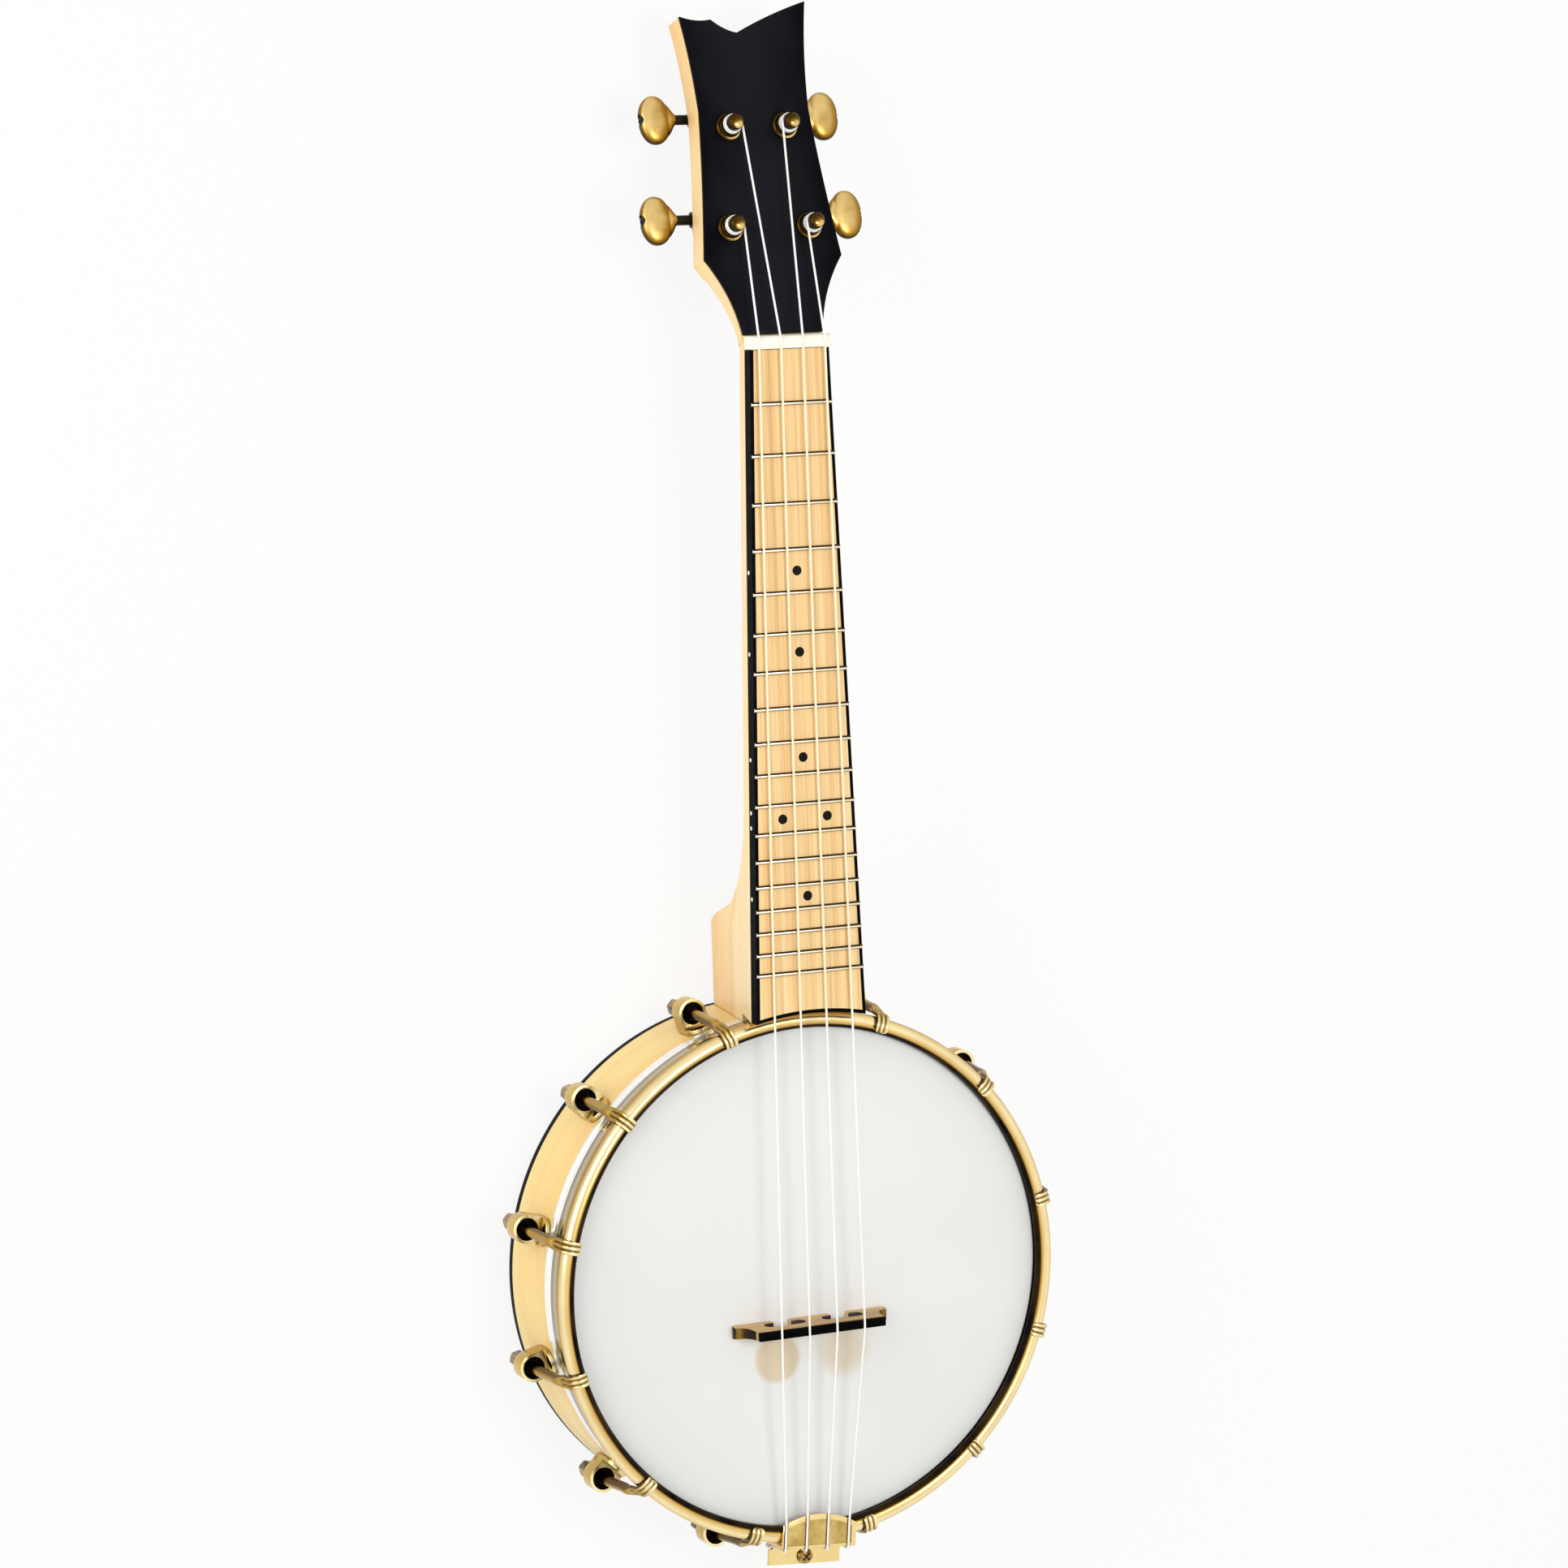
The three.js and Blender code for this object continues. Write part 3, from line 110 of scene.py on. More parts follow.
def settle(piece):
    pick(piece)
    bpy.ops.object.transform_apply(location=True, rotation=True, scale=True)


def editAll(piece):
    pick(piece)
    bpy.ops.object.mode_set(mode="EDIT")
    bpy.ops.mesh.select_all(action="SELECT")


def cleanMesh(piece, weld=1e-6):
    editAll(piece)
    bpy.ops.mesh.remove_doubles(threshold=weld)
    bpy.ops.mesh.normals_make_consistent(inside=False)
    bpy.ops.object.mode_set(mode="OBJECT")


def bevelEdges(piece, width, segments=2, angle=30):
    pick(piece)
    bevel = piece.modifiers.new("edges", "BEVEL")
    bevel.width = width * mm
    bevel.segments = segments
    bevel.limit_method = "ANGLE"
    bevel.angle_limit = math.radians(angle)
    bpy.ops.object.modifier_apply(modifier=bevel.name)


def combine(piece, other, operation):
    pick(piece)
    step = piece.modifiers.new("combine", "BOOLEAN")
    step.operation = operation
    step.solver = "EXACT"
    step.object = other
    bpy.ops.object.modifier_apply(modifier=step.name)
    bpy.data.objects.remove(other)
    return piece


def joinPieces(first, *others):
    pick(*others, first)
    bpy.ops.object.join()
    return first


# a circle whose points are moved on to an outline
def outlined(name, outline, fill):
    deselect()
    bpy.ops.mesh.primitive_circle_add(vertices=len(outline), radius=mm, fill_type=fill)
    piece = bpy.context.object
    piece.name = name
    for vertex, place in zip(piece.data.vertices, outline):
        vertex.co = place
    editAll(piece)
    return piece


# a closed outline pushed along a direction
def slab(name, outline, push):
    piece = outlined(name, outline, "NGON")
    bpy.ops.mesh.extrude_region_move(TRANSFORM_OT_translate={"value": push})
    bpy.ops.mesh.select_all(action="SELECT")
    bpy.ops.mesh.normals_make_consistent(inside=False)
    bpy.ops.object.mode_set(mode="OBJECT")
    return piece


# a section of (radius, height) points spun about an upright axis
def spun(name, section, centre=None, steps=192):
    middle = centre or spot(0, 0, 0)
    piece = outlined(name, [middle + local(0, radius, height) for radius, height in section], "NOTHING")
    bpy.ops.mesh.spin(steps=steps, angle=2 * math.pi, center=middle, axis=(0, 0, 1))
    bpy.ops.object.mode_set(mode="OBJECT")
    cleanMesh(piece)
    return piece


# rings of equal count joined into one closed skin, from a grid rolled up round them
def skinned(name, rings, weld=1e-7):
    deselect()
    around = len(rings[0])
    bpy.ops.mesh.primitive_grid_add(x_subdivisions=around, y_subdivisions=len(rings) - 1, size=mm)
    piece = bpy.context.object
    piece.name = name
    for row, ring in enumerate(rings):
        for column in range(around + 1):
            piece.data.vertices[row * (around + 1) + column].co = ring[column % around]
    editAll(piece)
    bpy.ops.mesh.remove_doubles(threshold=weld)
    bpy.ops.mesh.select_all(action="DESELECT")
    bpy.ops.mesh.select_non_manifold(extend=False)
    bpy.ops.mesh.edge_face_add()
    bpy.ops.object.mode_set(mode="OBJECT")
    mesh = bmesh.new()
    mesh.from_mesh(piece.data)
    holes = [edge for edge in mesh.edges if edge.is_boundary]
    bmesh.ops.holes_fill(mesh, edges=holes)
    mesh.to_mesh(piece.data)
    mesh.free()
    cleanMesh(piece, weld)
    return piece


def rod(name, radius, start, end, sides=48):
    deselect()
    along = end - start
    bpy.ops.mesh.primitive_cylinder_add(vertices=sides, radius=radius * mm, depth=along.length,
                                        location=(start + end) / 2,
                                        rotation=along.to_track_quat("Z", "Y").to_euler())
    piece = bpy.context.object
    piece.name = name
    settle(piece)
    return piece


def brick(name, low, high):
    deselect()
    bpy.ops.mesh.primitive_cube_add(size=1, location=(low + high) / 2, scale=high - low)
    piece = bpy.context.object
    piece.name = name
    settle(piece)
    return piece


def copied(model, name):
    piece = bpy.data.objects.new(name, model.data.copy())
    bpy.context.scene.collection.objects.link(piece)
    return piece


# a CAD piece copied and merged, ready for softer edges
def copyOf(node, name):
    piece = copied(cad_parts[node], name)
    editAll(piece)
    bpy.ops.mesh.remove_doubles(threshold=1e-6)
    bpy.ops.mesh.dissolve_limited(angle_limit=math.radians(0.5))
    bpy.ops.object.mode_set(mode="OBJECT")
    return piece


def finishPiece(piece, material, body, replaced=(), smoothAngle=35):
    settle(piece)
    bpy.ops.object.shade_smooth_by_angle(angle=math.radians(smoothAngle))
    piece.data.materials.clear()
    piece.data.materials.append(material)
    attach(piece, body)
    if replaced:
        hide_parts(*replaced)
    return piece


# materials
def tone(red, green, blue):
    # photo colour to the linear value that Blender wants
    def linear(value):
        share = value / 255
        return share / 12.92 if share <= 0.04045 else ((share + 0.055) / 1.055) ** 2.4

    return (linear(red), linear(green), linear(blue), 1)


class Wiring:
    # a node tree with short ways to add nodes and join them
    def __init__(self, tree):
        self.nodes = tree.nodes
        self.links = tree.links

    def add(self, kind, values=None, **settings):
        node = self.nodes.new(kind)
        for key, value in settings.items():
            setattr(node, key, value)
        for key, value in (values or {}).items():
            if hasattr(value, "is_output"):
                self.links.new(value, node.inputs[key])
            else:
                node.inputs[key].default_value = value
        return node

    def maths(self, operation, first, second=0.0):
        return self.add("ShaderNodeMath", {0: first, 1: second}, operation=operation).outputs[0]

    # one where the camera, a mirror or a glass looks, and nought for all other rays
    def looking(self):
        rays = self.add("ShaderNodeLightPath").outputs
        seen = self.maths("MAXIMUM", rays["Is Camera Ray"], rays["Is Glossy Ray"])
        return self.maths("MAXIMUM", seen, rays["Is Transmission Ray"])


class Finish(Wiring):
    # one material, ready to be wired
    def __init__(self, name, roughness=0.4, metallic=0.0, coat=0.0, coatRoughness=0.1, gloss=0.5):
        self.material = bpy.data.materials.new(name)
        self.material.use_nodes = True
        super().__init__(self.material.node_tree)
        self.shader = self.nodes["Principled BSDF"]
        for key, value in (("Roughness", roughness), ("Metallic", metallic), ("Coat Weight", coat),
                           ("Coat Roughness", coatRoughness), ("Specular IOR Level", gloss)):
            self.shader.inputs[key].default_value = value
        coordinates = self.add("ShaderNodeTexCoord").outputs
        self.place = coordinates["Object"]
        self.normal = coordinates["Normal"]

    # the place on the piece, measured from a point
    def away(self, point):
        return self.add("ShaderNodeMapping", {"Vector": self.place, "Location": tuple(-point)}).outputs[0]

    def stretched(self, scale, place=None):
        vector = self.place if place is None else place
        return self.add("ShaderNodeMapping", {"Vector": vector, "Scale": scale}).outputs[0]

    def noise(self, vector, scale, detail=4, roughness=0.55, distortion=0.0):
        values = {"Vector": vector, "Scale": scale, "Detail": detail, "Roughness": roughness,
                  "Distortion": distortion}
        return self.add("ShaderNodeTexNoise", values).outputs["Fac"]

    def cloud(self, scale, detail=3, roughness=0.55):
        return self.noise(self.place, scale, detail, roughness)

    def ramp(self, factor, stops):
        node = self.add("ShaderNodeValToRGB", {"Fac": factor})
        while len(node.color_ramp.elements) < len(stops):
            node.color_ramp.elements.new(0.5)
        for element, (position, colour) in zip(node.color_ramp.elements, stops):
            element.position = position
            element.color = colour
        return node.outputs["Color"]

    def blend(self, factor, first, second, mode="MIX"):
        values = {0: factor, 6: first, 7: second}
        return self.add("ShaderNodeMix", values, data_type="RGBA", blend_type=mode).outputs[2]

    def span(self, value, low, high, toLow=0.0, toHigh=1.0, kind="LINEAR"):
        values = {"Value": value, "From Min": low, "From Max": high, "To Min": toLow, "To Max": toHigh}
        return self.add("ShaderNodeMapRange", values, interpolation_type=kind).outputs[0]

    def vector(self, operation, first, second=(0, 0, 0)):
        node = self.add("ShaderNodeVectorMath", {0: first, 1: second}, operation=operation)
        return node.outputs["Value" if operation in ("LENGTH", "DOT_PRODUCT") else "Vector"]

    def axis(self, vector, name):
        return self.add("ShaderNodeSeparateXYZ", {0: vector}).outputs[name]

    def colour(self, value):
        self.links.new(value, self.shader.inputs["Base Color"])

    def rough(self, value):
        self.links.new(value, self.shader.inputs["Roughness"])

    def bump(self, height, strength, distance):
        node = self.add("ShaderNodeBump", {"Height": height, "Strength": strength, "Distance": distance * mm})
        self.links.new(node.outputs[0], self.shader.inputs["Normal"])


flat = (1, 1, 1, 1)


# maple with its grain drawn out along one direction: broad bands, fine lines, pores and a lacquer
def mapleFinish(name, grain, light, middle, dark, coat=0.12, lines=0.5, pores=0.35):
    look = Finish(name, coat=coat, coatRoughness=0.15, gloss=0.35)
    broadPlace, finePlace, porePlace = (look.stretched([size * share for share in grain])
                                        for size in (34, 260, 900))
    broad = look.noise(broadPlace, 1, detail=3, distortion=0.4)
    fine = look.noise(finePlace, 1.6, detail=6, roughness=0.7)
    pore = look.noise(porePlace, 1, detail=3)
    body = look.ramp(broad, [(0.3, dark), (0.48, middle), (0.7, light)])
    thin = look.ramp(fine, [(0.32, (0.78, 0.68, 0.5, 1)), (0.5, flat)])
    body = look.blend(lines, body, thin, "MULTIPLY")
    specks = look.ramp(pore, [(0.3, (0.8, 0.72, 0.58, 1)), (0.42, flat)])
    look.colour(look.blend(pores, body, specks, "MULTIPLY"))
    look.rough(look.span(fine, 0.3, 0.7, 0.46, 0.34))
    look.bump(fine, 0.06, 0.12)
    return look.material


# how much the grain is drawn out each way
alongY = (1, 0.045, 1)
aroundZ = (0.05, 0.05, 1)
alongX = (0.05, 1, 1)
neckMaple = mapleFinish("neck maple", alongY, tone(255, 232, 176), tone(254, 216, 150), tone(242, 196, 124),
                        lines=0.25, pores=0.15)
rimMaple = mapleFinish("rim maple", aroundZ, tone(255, 236, 164), tone(255, 226, 148), tone(252, 212, 128),
                       lines=0.2, pores=0.1)
bridgeMaple = mapleFinish("bridge maple", alongX, tone(232, 202, 146), tone(214, 178, 118), tone(176, 136, 80),
                          coat=0)
bridgeShade = mapleFinish("bridge arch shade", alongX, tone(62, 44, 20), tone(44, 30, 13), tone(26, 17, 7),
                          coat=0)


# fingerboard maple: straight thin streaks and a few wider ones running the length of the board
def boardFinish():
    look = Finish("fingerboard maple", coat=0.05, coatRoughness=0.2, gloss=0.3)
    wide = look.noise(look.stretched((150, 1.6, 40)), 1, detail=2, roughness=0.5)
    thin = look.noise(look.stretched((620, 5, 90)), 1, detail=4, roughness=0.65)
    hair = look.noise(look.stretched((1900, 22, 300)), 1, detail=3)
    body = look.ramp(wide, [(0.3, tone(236, 194, 132)), (0.46, tone(249, 217, 158)),
                            (0.7, tone(254, 229, 176))])
    streak = look.ramp(thin, [(0.34, tone(196, 142, 78)), (0.47, tone(246, 222, 180)), (0.6, flat)])
    body = look.blend(0.42, body, streak, "MULTIPLY")
    strand = look.ramp(hair, [(0.34, tone(206, 164, 108)), (0.48, flat)])
    look.colour(look.blend(0.2, body, strand, "MULTIPLY"))
    look.rough(look.span(thin, 0.3, 0.7, 0.5, 0.36))
    look.bump(hair, 0.1, 0.1)
    return look.material


boardMaple = boardFinish()


# the bridge's wings are painted with shade: black next to the cap, fading to olive towards their ends, and dark
# at the very end
def wingShadeFinish():
    look = Finish("bridge wing shade", roughness=0.5, gloss=0.15)
    cloud = look.cloud(400)
    across = look.maths("ABSOLUTE", look.maths("SUBTRACT", look.axis(look.place, "X"), pot.x))
    share = look.maths("ADD", look.span(across, 0.0273, 0.0332), look.span(cloud, 0.3, 0.7, -0.03, 0.03))
    look.colour(look.ramp(share, [(0.0, tone(8, 6, 5)), (0.4, tone(52, 36, 12)), (0.7, tone(138, 106, 40)),
                                  (0.94, tone(126, 94, 34)), (0.99, tone(26, 18, 8))]))
    return look.material


bridgeWingShade = wingShadeFinish()


# polished metal, dark in its corners with patina and painted shade, with painted light on what looks up and
# painted shade on what looks down and on flanks that look along the rim
def patinaAndShadeFinish(name, bright, middle, dark, shade=0.85, reach=2.0, flankShade=0):
    look = Finish(name, metallic=1)
    corner = look.add("ShaderNodeAmbientOcclusion", {"Distance": reach * mm}, samples=8).outputs["AO"]
    cloud = look.cloud(240, roughness=0.5)
    smear = look.cloud(90, detail=2)
    facing = look.axis(look.normal, "Z")
    # painted light: faces that look up get the bright tone
    body = look.ramp(facing, [(0.0, middle), (0.45, middle), (0.9, bright)])
    body = look.blend(look.span(smear, 0.35, 0.65, 0, 0.3), body, middle)
    corner = look.maths("ADD", corner, look.span(cloud, 0.3, 0.7, -0.08, 0.06))
    mask = look.span(corner, 0.35, 0.9, shade, 0)
    # painted shade on what looks down
    mask = look.maths("MAXIMUM", mask, look.span(facing, -0.1, -0.8, 0, 0.5))
    # painted shade on flanks that look along the rim
    if flankShade:
        level = look.vector("MULTIPLY", look.away(pot), (1, 1, 0))
        alongRim = look.vector("NORMALIZE", look.vector("CROSS_PRODUCT", level, (0, 0, 1)))
        side = look.vector("DOT_PRODUCT", alongRim, look.normal)
        mask = look.maths("MAXIMUM", mask, look.span(look.maths("ABSOLUTE", side), 0.35, 0.85, 0, flankShade))
    look.colour(look.blend(mask, body, dark))
    look.rough(look.span(cloud, 0.3, 0.7, 0.16, 0.26))
    look.bump(cloud, 0.03, 0.04)
    return look.material


brass = patinaAndShadeFinish("brass patina and shade", tone(253, 236, 188), tone(220, 186, 118), tone(82, 56, 14))
shoeBrass = patinaAndShadeFinish("shoe brass", tone(252, 238, 184), tone(216, 180, 96), tone(70, 46, 6),
                          reach=2.2, flankShade=0.2)
hookBrass = patinaAndShadeFinish("hook brass", tone(252, 232, 172), tone(182, 144, 64), tone(58, 39, 6),
                          shade=0.95, reach=1.6, flankShade=0.85)
plateBrass = patinaAndShadeFinish("tailpiece border", tone(244, 218, 152), tone(226, 192, 118), tone(92, 66, 20),
                           shade=0.7, reach=1.4)


# tuner collars and posts are brown brass with a painted highlight where they look a little towards the nut, and
# dark in their corners with patina and painted shade
def collarFinish():
    look = Finish("dark brass", metallic=1)
    cloud = look.cloud(300, roughness=0.5)
    corner = look.add("ShaderNodeAmbientOcclusion", {"Distance": 1.6 * mm}, samples=8).outputs["AO"]
    paintedLight = look.vector("DOT_PRODUCT", look.normal, (0.2, -0.2, 0.957))
    paintedLight = look.maths("ADD", paintedLight, look.span(cloud, 0.3, 0.7, -0.02, 0.02))
    body = look.ramp(paintedLight, [(0.3, tone(56, 38, 10)), (0.8, tone(76, 53, 15)), (0.9, tone(122, 90, 36)),
                            (0.97, tone(230, 194, 124))])
    look.colour(look.blend(look.span(corner, 0.4, 0.9, 0.85, 0), body, tone(30, 19, 5)))
    look.rough(look.span(cloud, 0.3, 0.7, 0.18, 0.3))
    look.bump(cloud, 0.03, 0.04)
    return look.material


collarBrass = collarFinish()


# the sunk panels of the tailpiece are a satin olive gold
def panelFinish():
    look = Finish("tailpiece panel", metallic=1)
    cloud = look.cloud(120, detail=4, roughness=0.6)
    grain = look.cloud(1400, detail=2)
    look.colour(look.ramp(cloud, [(0.35, tone(172, 144, 76)), (0.65, tone(208, 180, 112))]))
    look.rough(look.span(grain, 0.3, 0.7, 0.3, 0.42))
    look.bump(grain, 0.06, 0.04)
    return look.material


panelBrass = panelFinish()


# a button's colour is painted light and shade: bright gold on its broad faces and on one leaning side, dark
# brown on its edge
def buttonFinish():
    look = Finish("button gold", metallic=1)
    cloud = look.cloud(170)
    facing = look.maths("MULTIPLY", look.maths("ABSOLUTE", look.axis(look.normal, "Z")), 0.84)
    lean = look.vector("DOT_PRODUCT", look.normal, (-0.32, 0.44, 0))
    paintedLight = look.maths("ADD", look.maths("ADD", facing, lean), look.span(cloud, 0.3, 0.7, -0.04, 0.04))
    look.colour(look.ramp(paintedLight, [(0.12, tone(50, 33, 8)), (0.42, tone(104, 74, 18)), (0.66, tone(146, 110, 32)),
                                 (0.84, tone(176, 138, 62)), (0.97, tone(222, 190, 122))]))
    look.rough(look.span(cloud, 0.3, 0.7, 0.3, 0.38))
    look.bump(cloud, 0.02, 0.04)
    return look.material


buttonGold = buttonFinish()


# bead: its centre as radius and height, and the degrees its arc runs through, with 90 on top
hoop = {"bead": (104.5, 63.1), "beadRadius": 3.3, "start": -70, "end": 215, "skirtOuter": 105.7,
        "skirtInner": 102.7, "low": 49.2, "skirtTop": 59.7, "beadLow": 60.4}


# the hoop's bead is painted light and shade all round: a dark crease over the skirt, a highlight on top and
# black where it faces the head; its skirt goes from dark gold at the top to silvery cream at the bottom, a
# painted reflection
def hoopFinish():
    look = Finish("hoop brass", metallic=1, gloss=0.03)
    radius, beadHeight = (value * mm for value in hoop["bead"])
    skirtTop = hoop["skirtTop"] * mm
    away = look.away(pot)
    height = look.axis(away, "Z")
    out = look.maths("SUBTRACT", look.vector("LENGTH", look.vector("MULTIPLY", away, (1, 1, 0))), radius)
    up = look.maths("SUBTRACT", height, beadHeight)
    section = look.add("ShaderNodeCombineXYZ", {0: out, 1: up}).outputs[0]
    middle = math.radians((hoop["start"] + hoop["end"]) / 2)
    reach = math.radians(hoop["end"] - hoop["start"]) / 2
    turned = look.add("ShaderNodeMapping", {"Vector": section, "Rotation": (0, 0, -middle)}).outputs[0]
    angle = look.maths("ARCTAN2", look.axis(turned, "Y"), look.axis(turned, "X"))
    # the painted light and shade lie a little further out on the bass side and further in on the treble side
    bassShift, trebleShift = (look.maths("MULTIPLY", look.axis(away, "X"), math.radians(most) / radius)
                              for most in (25, 7))
    shift = look.maths("MINIMUM", bassShift, trebleShift)
    around = look.span(look.maths("SUBTRACT", angle, shift), -reach, reach)

    def share(degrees):
        return (degrees - hoop["start"]) / (hoop["end"] - hoop["start"])

    brush = look.noise(look.stretched((0.03, 0.03, 1), away), 900, detail=3)
    # painted light and shade round the bead: dark crease, highlight on top, black shade facing the head
    beadLightAndShade = {-62: (104, 76, 26), -10: (140, 108, 50), 20: (192, 156, 88), 36: (230, 198, 130),
                 54: (246, 222, 164), 72: (250, 234, 184), 90: (240, 210, 146), 106: (222, 186, 112),
                 117: (182, 142, 70), 122: (84, 58, 18), 127: (10, 7, 4), 170: (5, 4, 4)}
    bead = look.ramp(around, [(share(degrees), tone(*colour)) for degrees, colour in beadLightAndShade.items()])
    # painted reflection on the skirt, darkest next to the bead
    skirt = look.ramp(look.span(height, hoop["low"] * mm, skirtTop),
                      [(0.0, tone(206, 203, 196)), (0.12, tone(172, 166, 152)), (0.3, tone(196, 180, 144)),
                       (0.6, tone(186, 162, 112)), (0.82, tone(150, 122, 66)), (1.0, tone(104, 76, 26))])
    body = look.blend(look.span(height, skirtTop - 0.1 * mm, skirtTop + 0.2 * mm), skirt, bead)
    # the black next to the head is painted shade, so it is not metal either
    gold = look.span(around, share(120), share(126), 1, 0)  # the black next to the head isn't metal
    gold = look.maths("MAXIMUM", gold, look.span(height, skirtTop + 0.1 * mm, skirtTop - 0.1 * mm))
    look.links.new(gold, look.shader.inputs["Metallic"])
    look.colour(look.blend(look.span(look.cloud(60), 0.35, 0.65, 0, 0.12), body, tone(150, 112, 50)))
    look.rough(look.span(brush, 0.3, 0.7, 0.16, 0.28))
    look.bump(brush, 0.04, 0.04)
    return look.material


# bright flesh hoop, rolled, so thin dark lines run round it
def bandFinish():
    look = Finish("flesh hoop metal", metallic=0.7)
    streak = look.noise(look.stretched((0.04, 0.04, 1), look.away(pot)), 620, detail=3, distortion=0.2)
    look.colour(look.ramp(streak, [(0.3, tone(222, 219, 211)), (0.46, tone(250, 249, 244)),
                                   (0.7, tone(255, 255, 252))]))
    look.rough(look.span(streak, 0.3, 0.7, 0.3, 0.2))
    look.bump(streak, 0.03, 0.06)
    return look.material


bandMetal = bandFinish()


# frosted head film; the two pads behind it show through as soft tan discs
def filmFinish():
    look = Finish("head film", roughness=0.45, gloss=0.25)
    look.shader.inputs["Subsurface Weight"].default_value = 0.15
    look.shader.inputs["Subsurface Radius"].default_value = (mm, mm, mm)
    body = look.ramp(look.cloud(9, detail=2), [(0.3, tone(234, 234, 231)), (0.7, tone(240, 240, 237))])
    for node, strength, softness in (("head_pad_left", 0.75, 1.4), ("head_pad_right", 0.6, 4.0)):
        low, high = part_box(node)
        radius, soft = (high.x - low.x) / 2, softness * mm
        across = look.vector("LENGTH", look.vector("MULTIPLY", look.away((low + high) / 2), (1, 1, 0)))
        mask = look.span(across, radius + soft, radius - soft, 0, strength, "SMOOTHSTEP")
        body = look.blend(mask, body, tone(221, 198, 158))
    look.colour(body)
    look.bump(look.cloud(1500, detail=2), 0.04, 0.04)
    return look.material


headFilm = filmFinish()


# one plain stuff with a faint mottle in colour and gloss
def plainFinish(name, light, dark, roughness=0.35, metallic=0.0, scale=220, depth=0.03, gloss=0.5):
    look = Finish(name, metallic=metallic, gloss=gloss)
    mottle = look.cloud(scale, detail=4)
    look.colour(look.ramp(mottle, [(0.35, dark), (0.65, light)]))
    look.rough(look.span(mottle, 0.3, 0.7, roughness + 0.05, roughness - 0.05))
    look.bump(mottle, depth, 0.05)
    return look.material


blackGloss = plainFinish("black binding", tone(9, 9, 12), tone(3, 3, 4), 0.45, gloss=0.02)
blackCap = plainFinish("bridge black", tone(7, 6, 5), tone(3, 2, 2), 0.5, gloss=0.02)
boreShade = plainFinish("bore shade", tone(40, 27, 10), tone(12, 8, 3), 0.5, gloss=0.1)
rodSteel = plainFinish("rod steel", tone(190, 190, 190), tone(150, 150, 152), 0.32, 1)
blackSteel = plainFinish("blackened steel", tone(22, 18, 14), tone(8, 6, 5), 0.3, gloss=0.2)
screwBrass = plainFinish("screw brass", tone(196, 164, 98), tone(120, 90, 40), 0.24, 1, scale=500)
bone = plainFinish("nut bone", tone(255, 252, 238), tone(255, 250, 232), 0.4, gloss=0.3)
padFoam = plainFinish("pad foam", tone(214, 186, 150), tone(184, 152, 116), 0.8, scale=600, depth=0.4,
                      gloss=0.2)
dotBlack = plainFinish("dot black", tone(10, 9, 9), tone(3, 3, 3), 0.3, gloss=0.1)
dotWhite = plainFinish("dot white", tone(250, 250, 244), tone(232, 232, 226), 0.35)


# the headstock's face is black with a painted sheen: softly grey along its middle and black at its edges
def faceFinish():
    look = Finish("headstock black", roughness=0.4, gloss=0.04)
    cloud = look.cloud(24)
    across = look.maths("ABSOLUTE", look.maths("SUBTRACT", look.axis(look.place, "X"), pot.x))
    share = look.maths("ADD", look.span(across, 0.004, 0.026), look.span(cloud, 0.35, 0.65, -0.2, 0.2))
    look.colour(look.ramp(share, [(0.0, tone(26, 26, 32)), (0.5, tone(19, 19, 25)), (1.0, tone(5, 5, 10))]))
    look.bump(cloud, 0.02, 0.05)
    return look.material


blackFace = faceFinish()


# clear nylon takes up the colour of what lies under it: cream over the board, white elsewhere
def nylonFinish():
    look = Finish("nylon", roughness=0.3, gloss=0.4)
    low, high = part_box("fingerboard")
    along = look.axis(look.place, "Y")
    overBoard = look.maths("MULTIPLY", look.span(along, low.y - 4 * mm, low.y + 4 * mm),
                           look.span(along, high.y + 5 * mm, high.y - 1 * mm))
    body = look.blend(overBoard, tone(255, 254, 248), tone(255, 244, 210))
    speck = look.span(look.cloud(220, detail=4), 0.35, 0.65, 0, 0.1)
    look.colour(look.blend(speck, body, tone(226, 216, 196)))
    return look.material


nylon = nylonFinish()


# fret wire with a painted highlight on its crown and painted shade on the flank that faces the nut
def fretFinish():
    look = Finish("fret nickel", metallic=0.9)
    wear = look.cloud(300)
    lean = look.maths("ADD", look.axis(look.normal, "Y"), look.span(wear, 0.3, 0.7, -0.02, 0.02))
    look.colour(look.ramp(look.span(lean, -1, 1), [(0.08, tone(150, 130, 92)), (0.17, tone(176, 156, 116)),
                                                   (0.24, tone(236, 226, 200)), (0.55, tone(246, 240, 222)),
                                                   (0.62, tone(104, 80, 34)), (0.8, tone(60, 42, 12))]))
    look.rough(look.span(wear, 0.3, 0.7, 0.34, 0.4))
    return look.material


nickel = fretFinish()
print("materials are made")

# pot: rim, back binding, head and hoops
rim = {"radius": 104.7, "wall": 10, "height": 59.3, "shoulder": 40.9, "step": 3.5, "edge": 2.6, "soft": 0.4,
       "innerEdge": 0.8, "binding": 4, "bindingWidth": 2, "boltHole": 2.8, "boltHeight": 24}
rimInner = rim["radius"] - rim["wall"]
rimUpper = rim["radius"] - rim["step"]
bindingInner = rim["radius"] - rim["bindingWidth"]
rebate, ledge = bindingInner - glue, rim["binding"] + glue

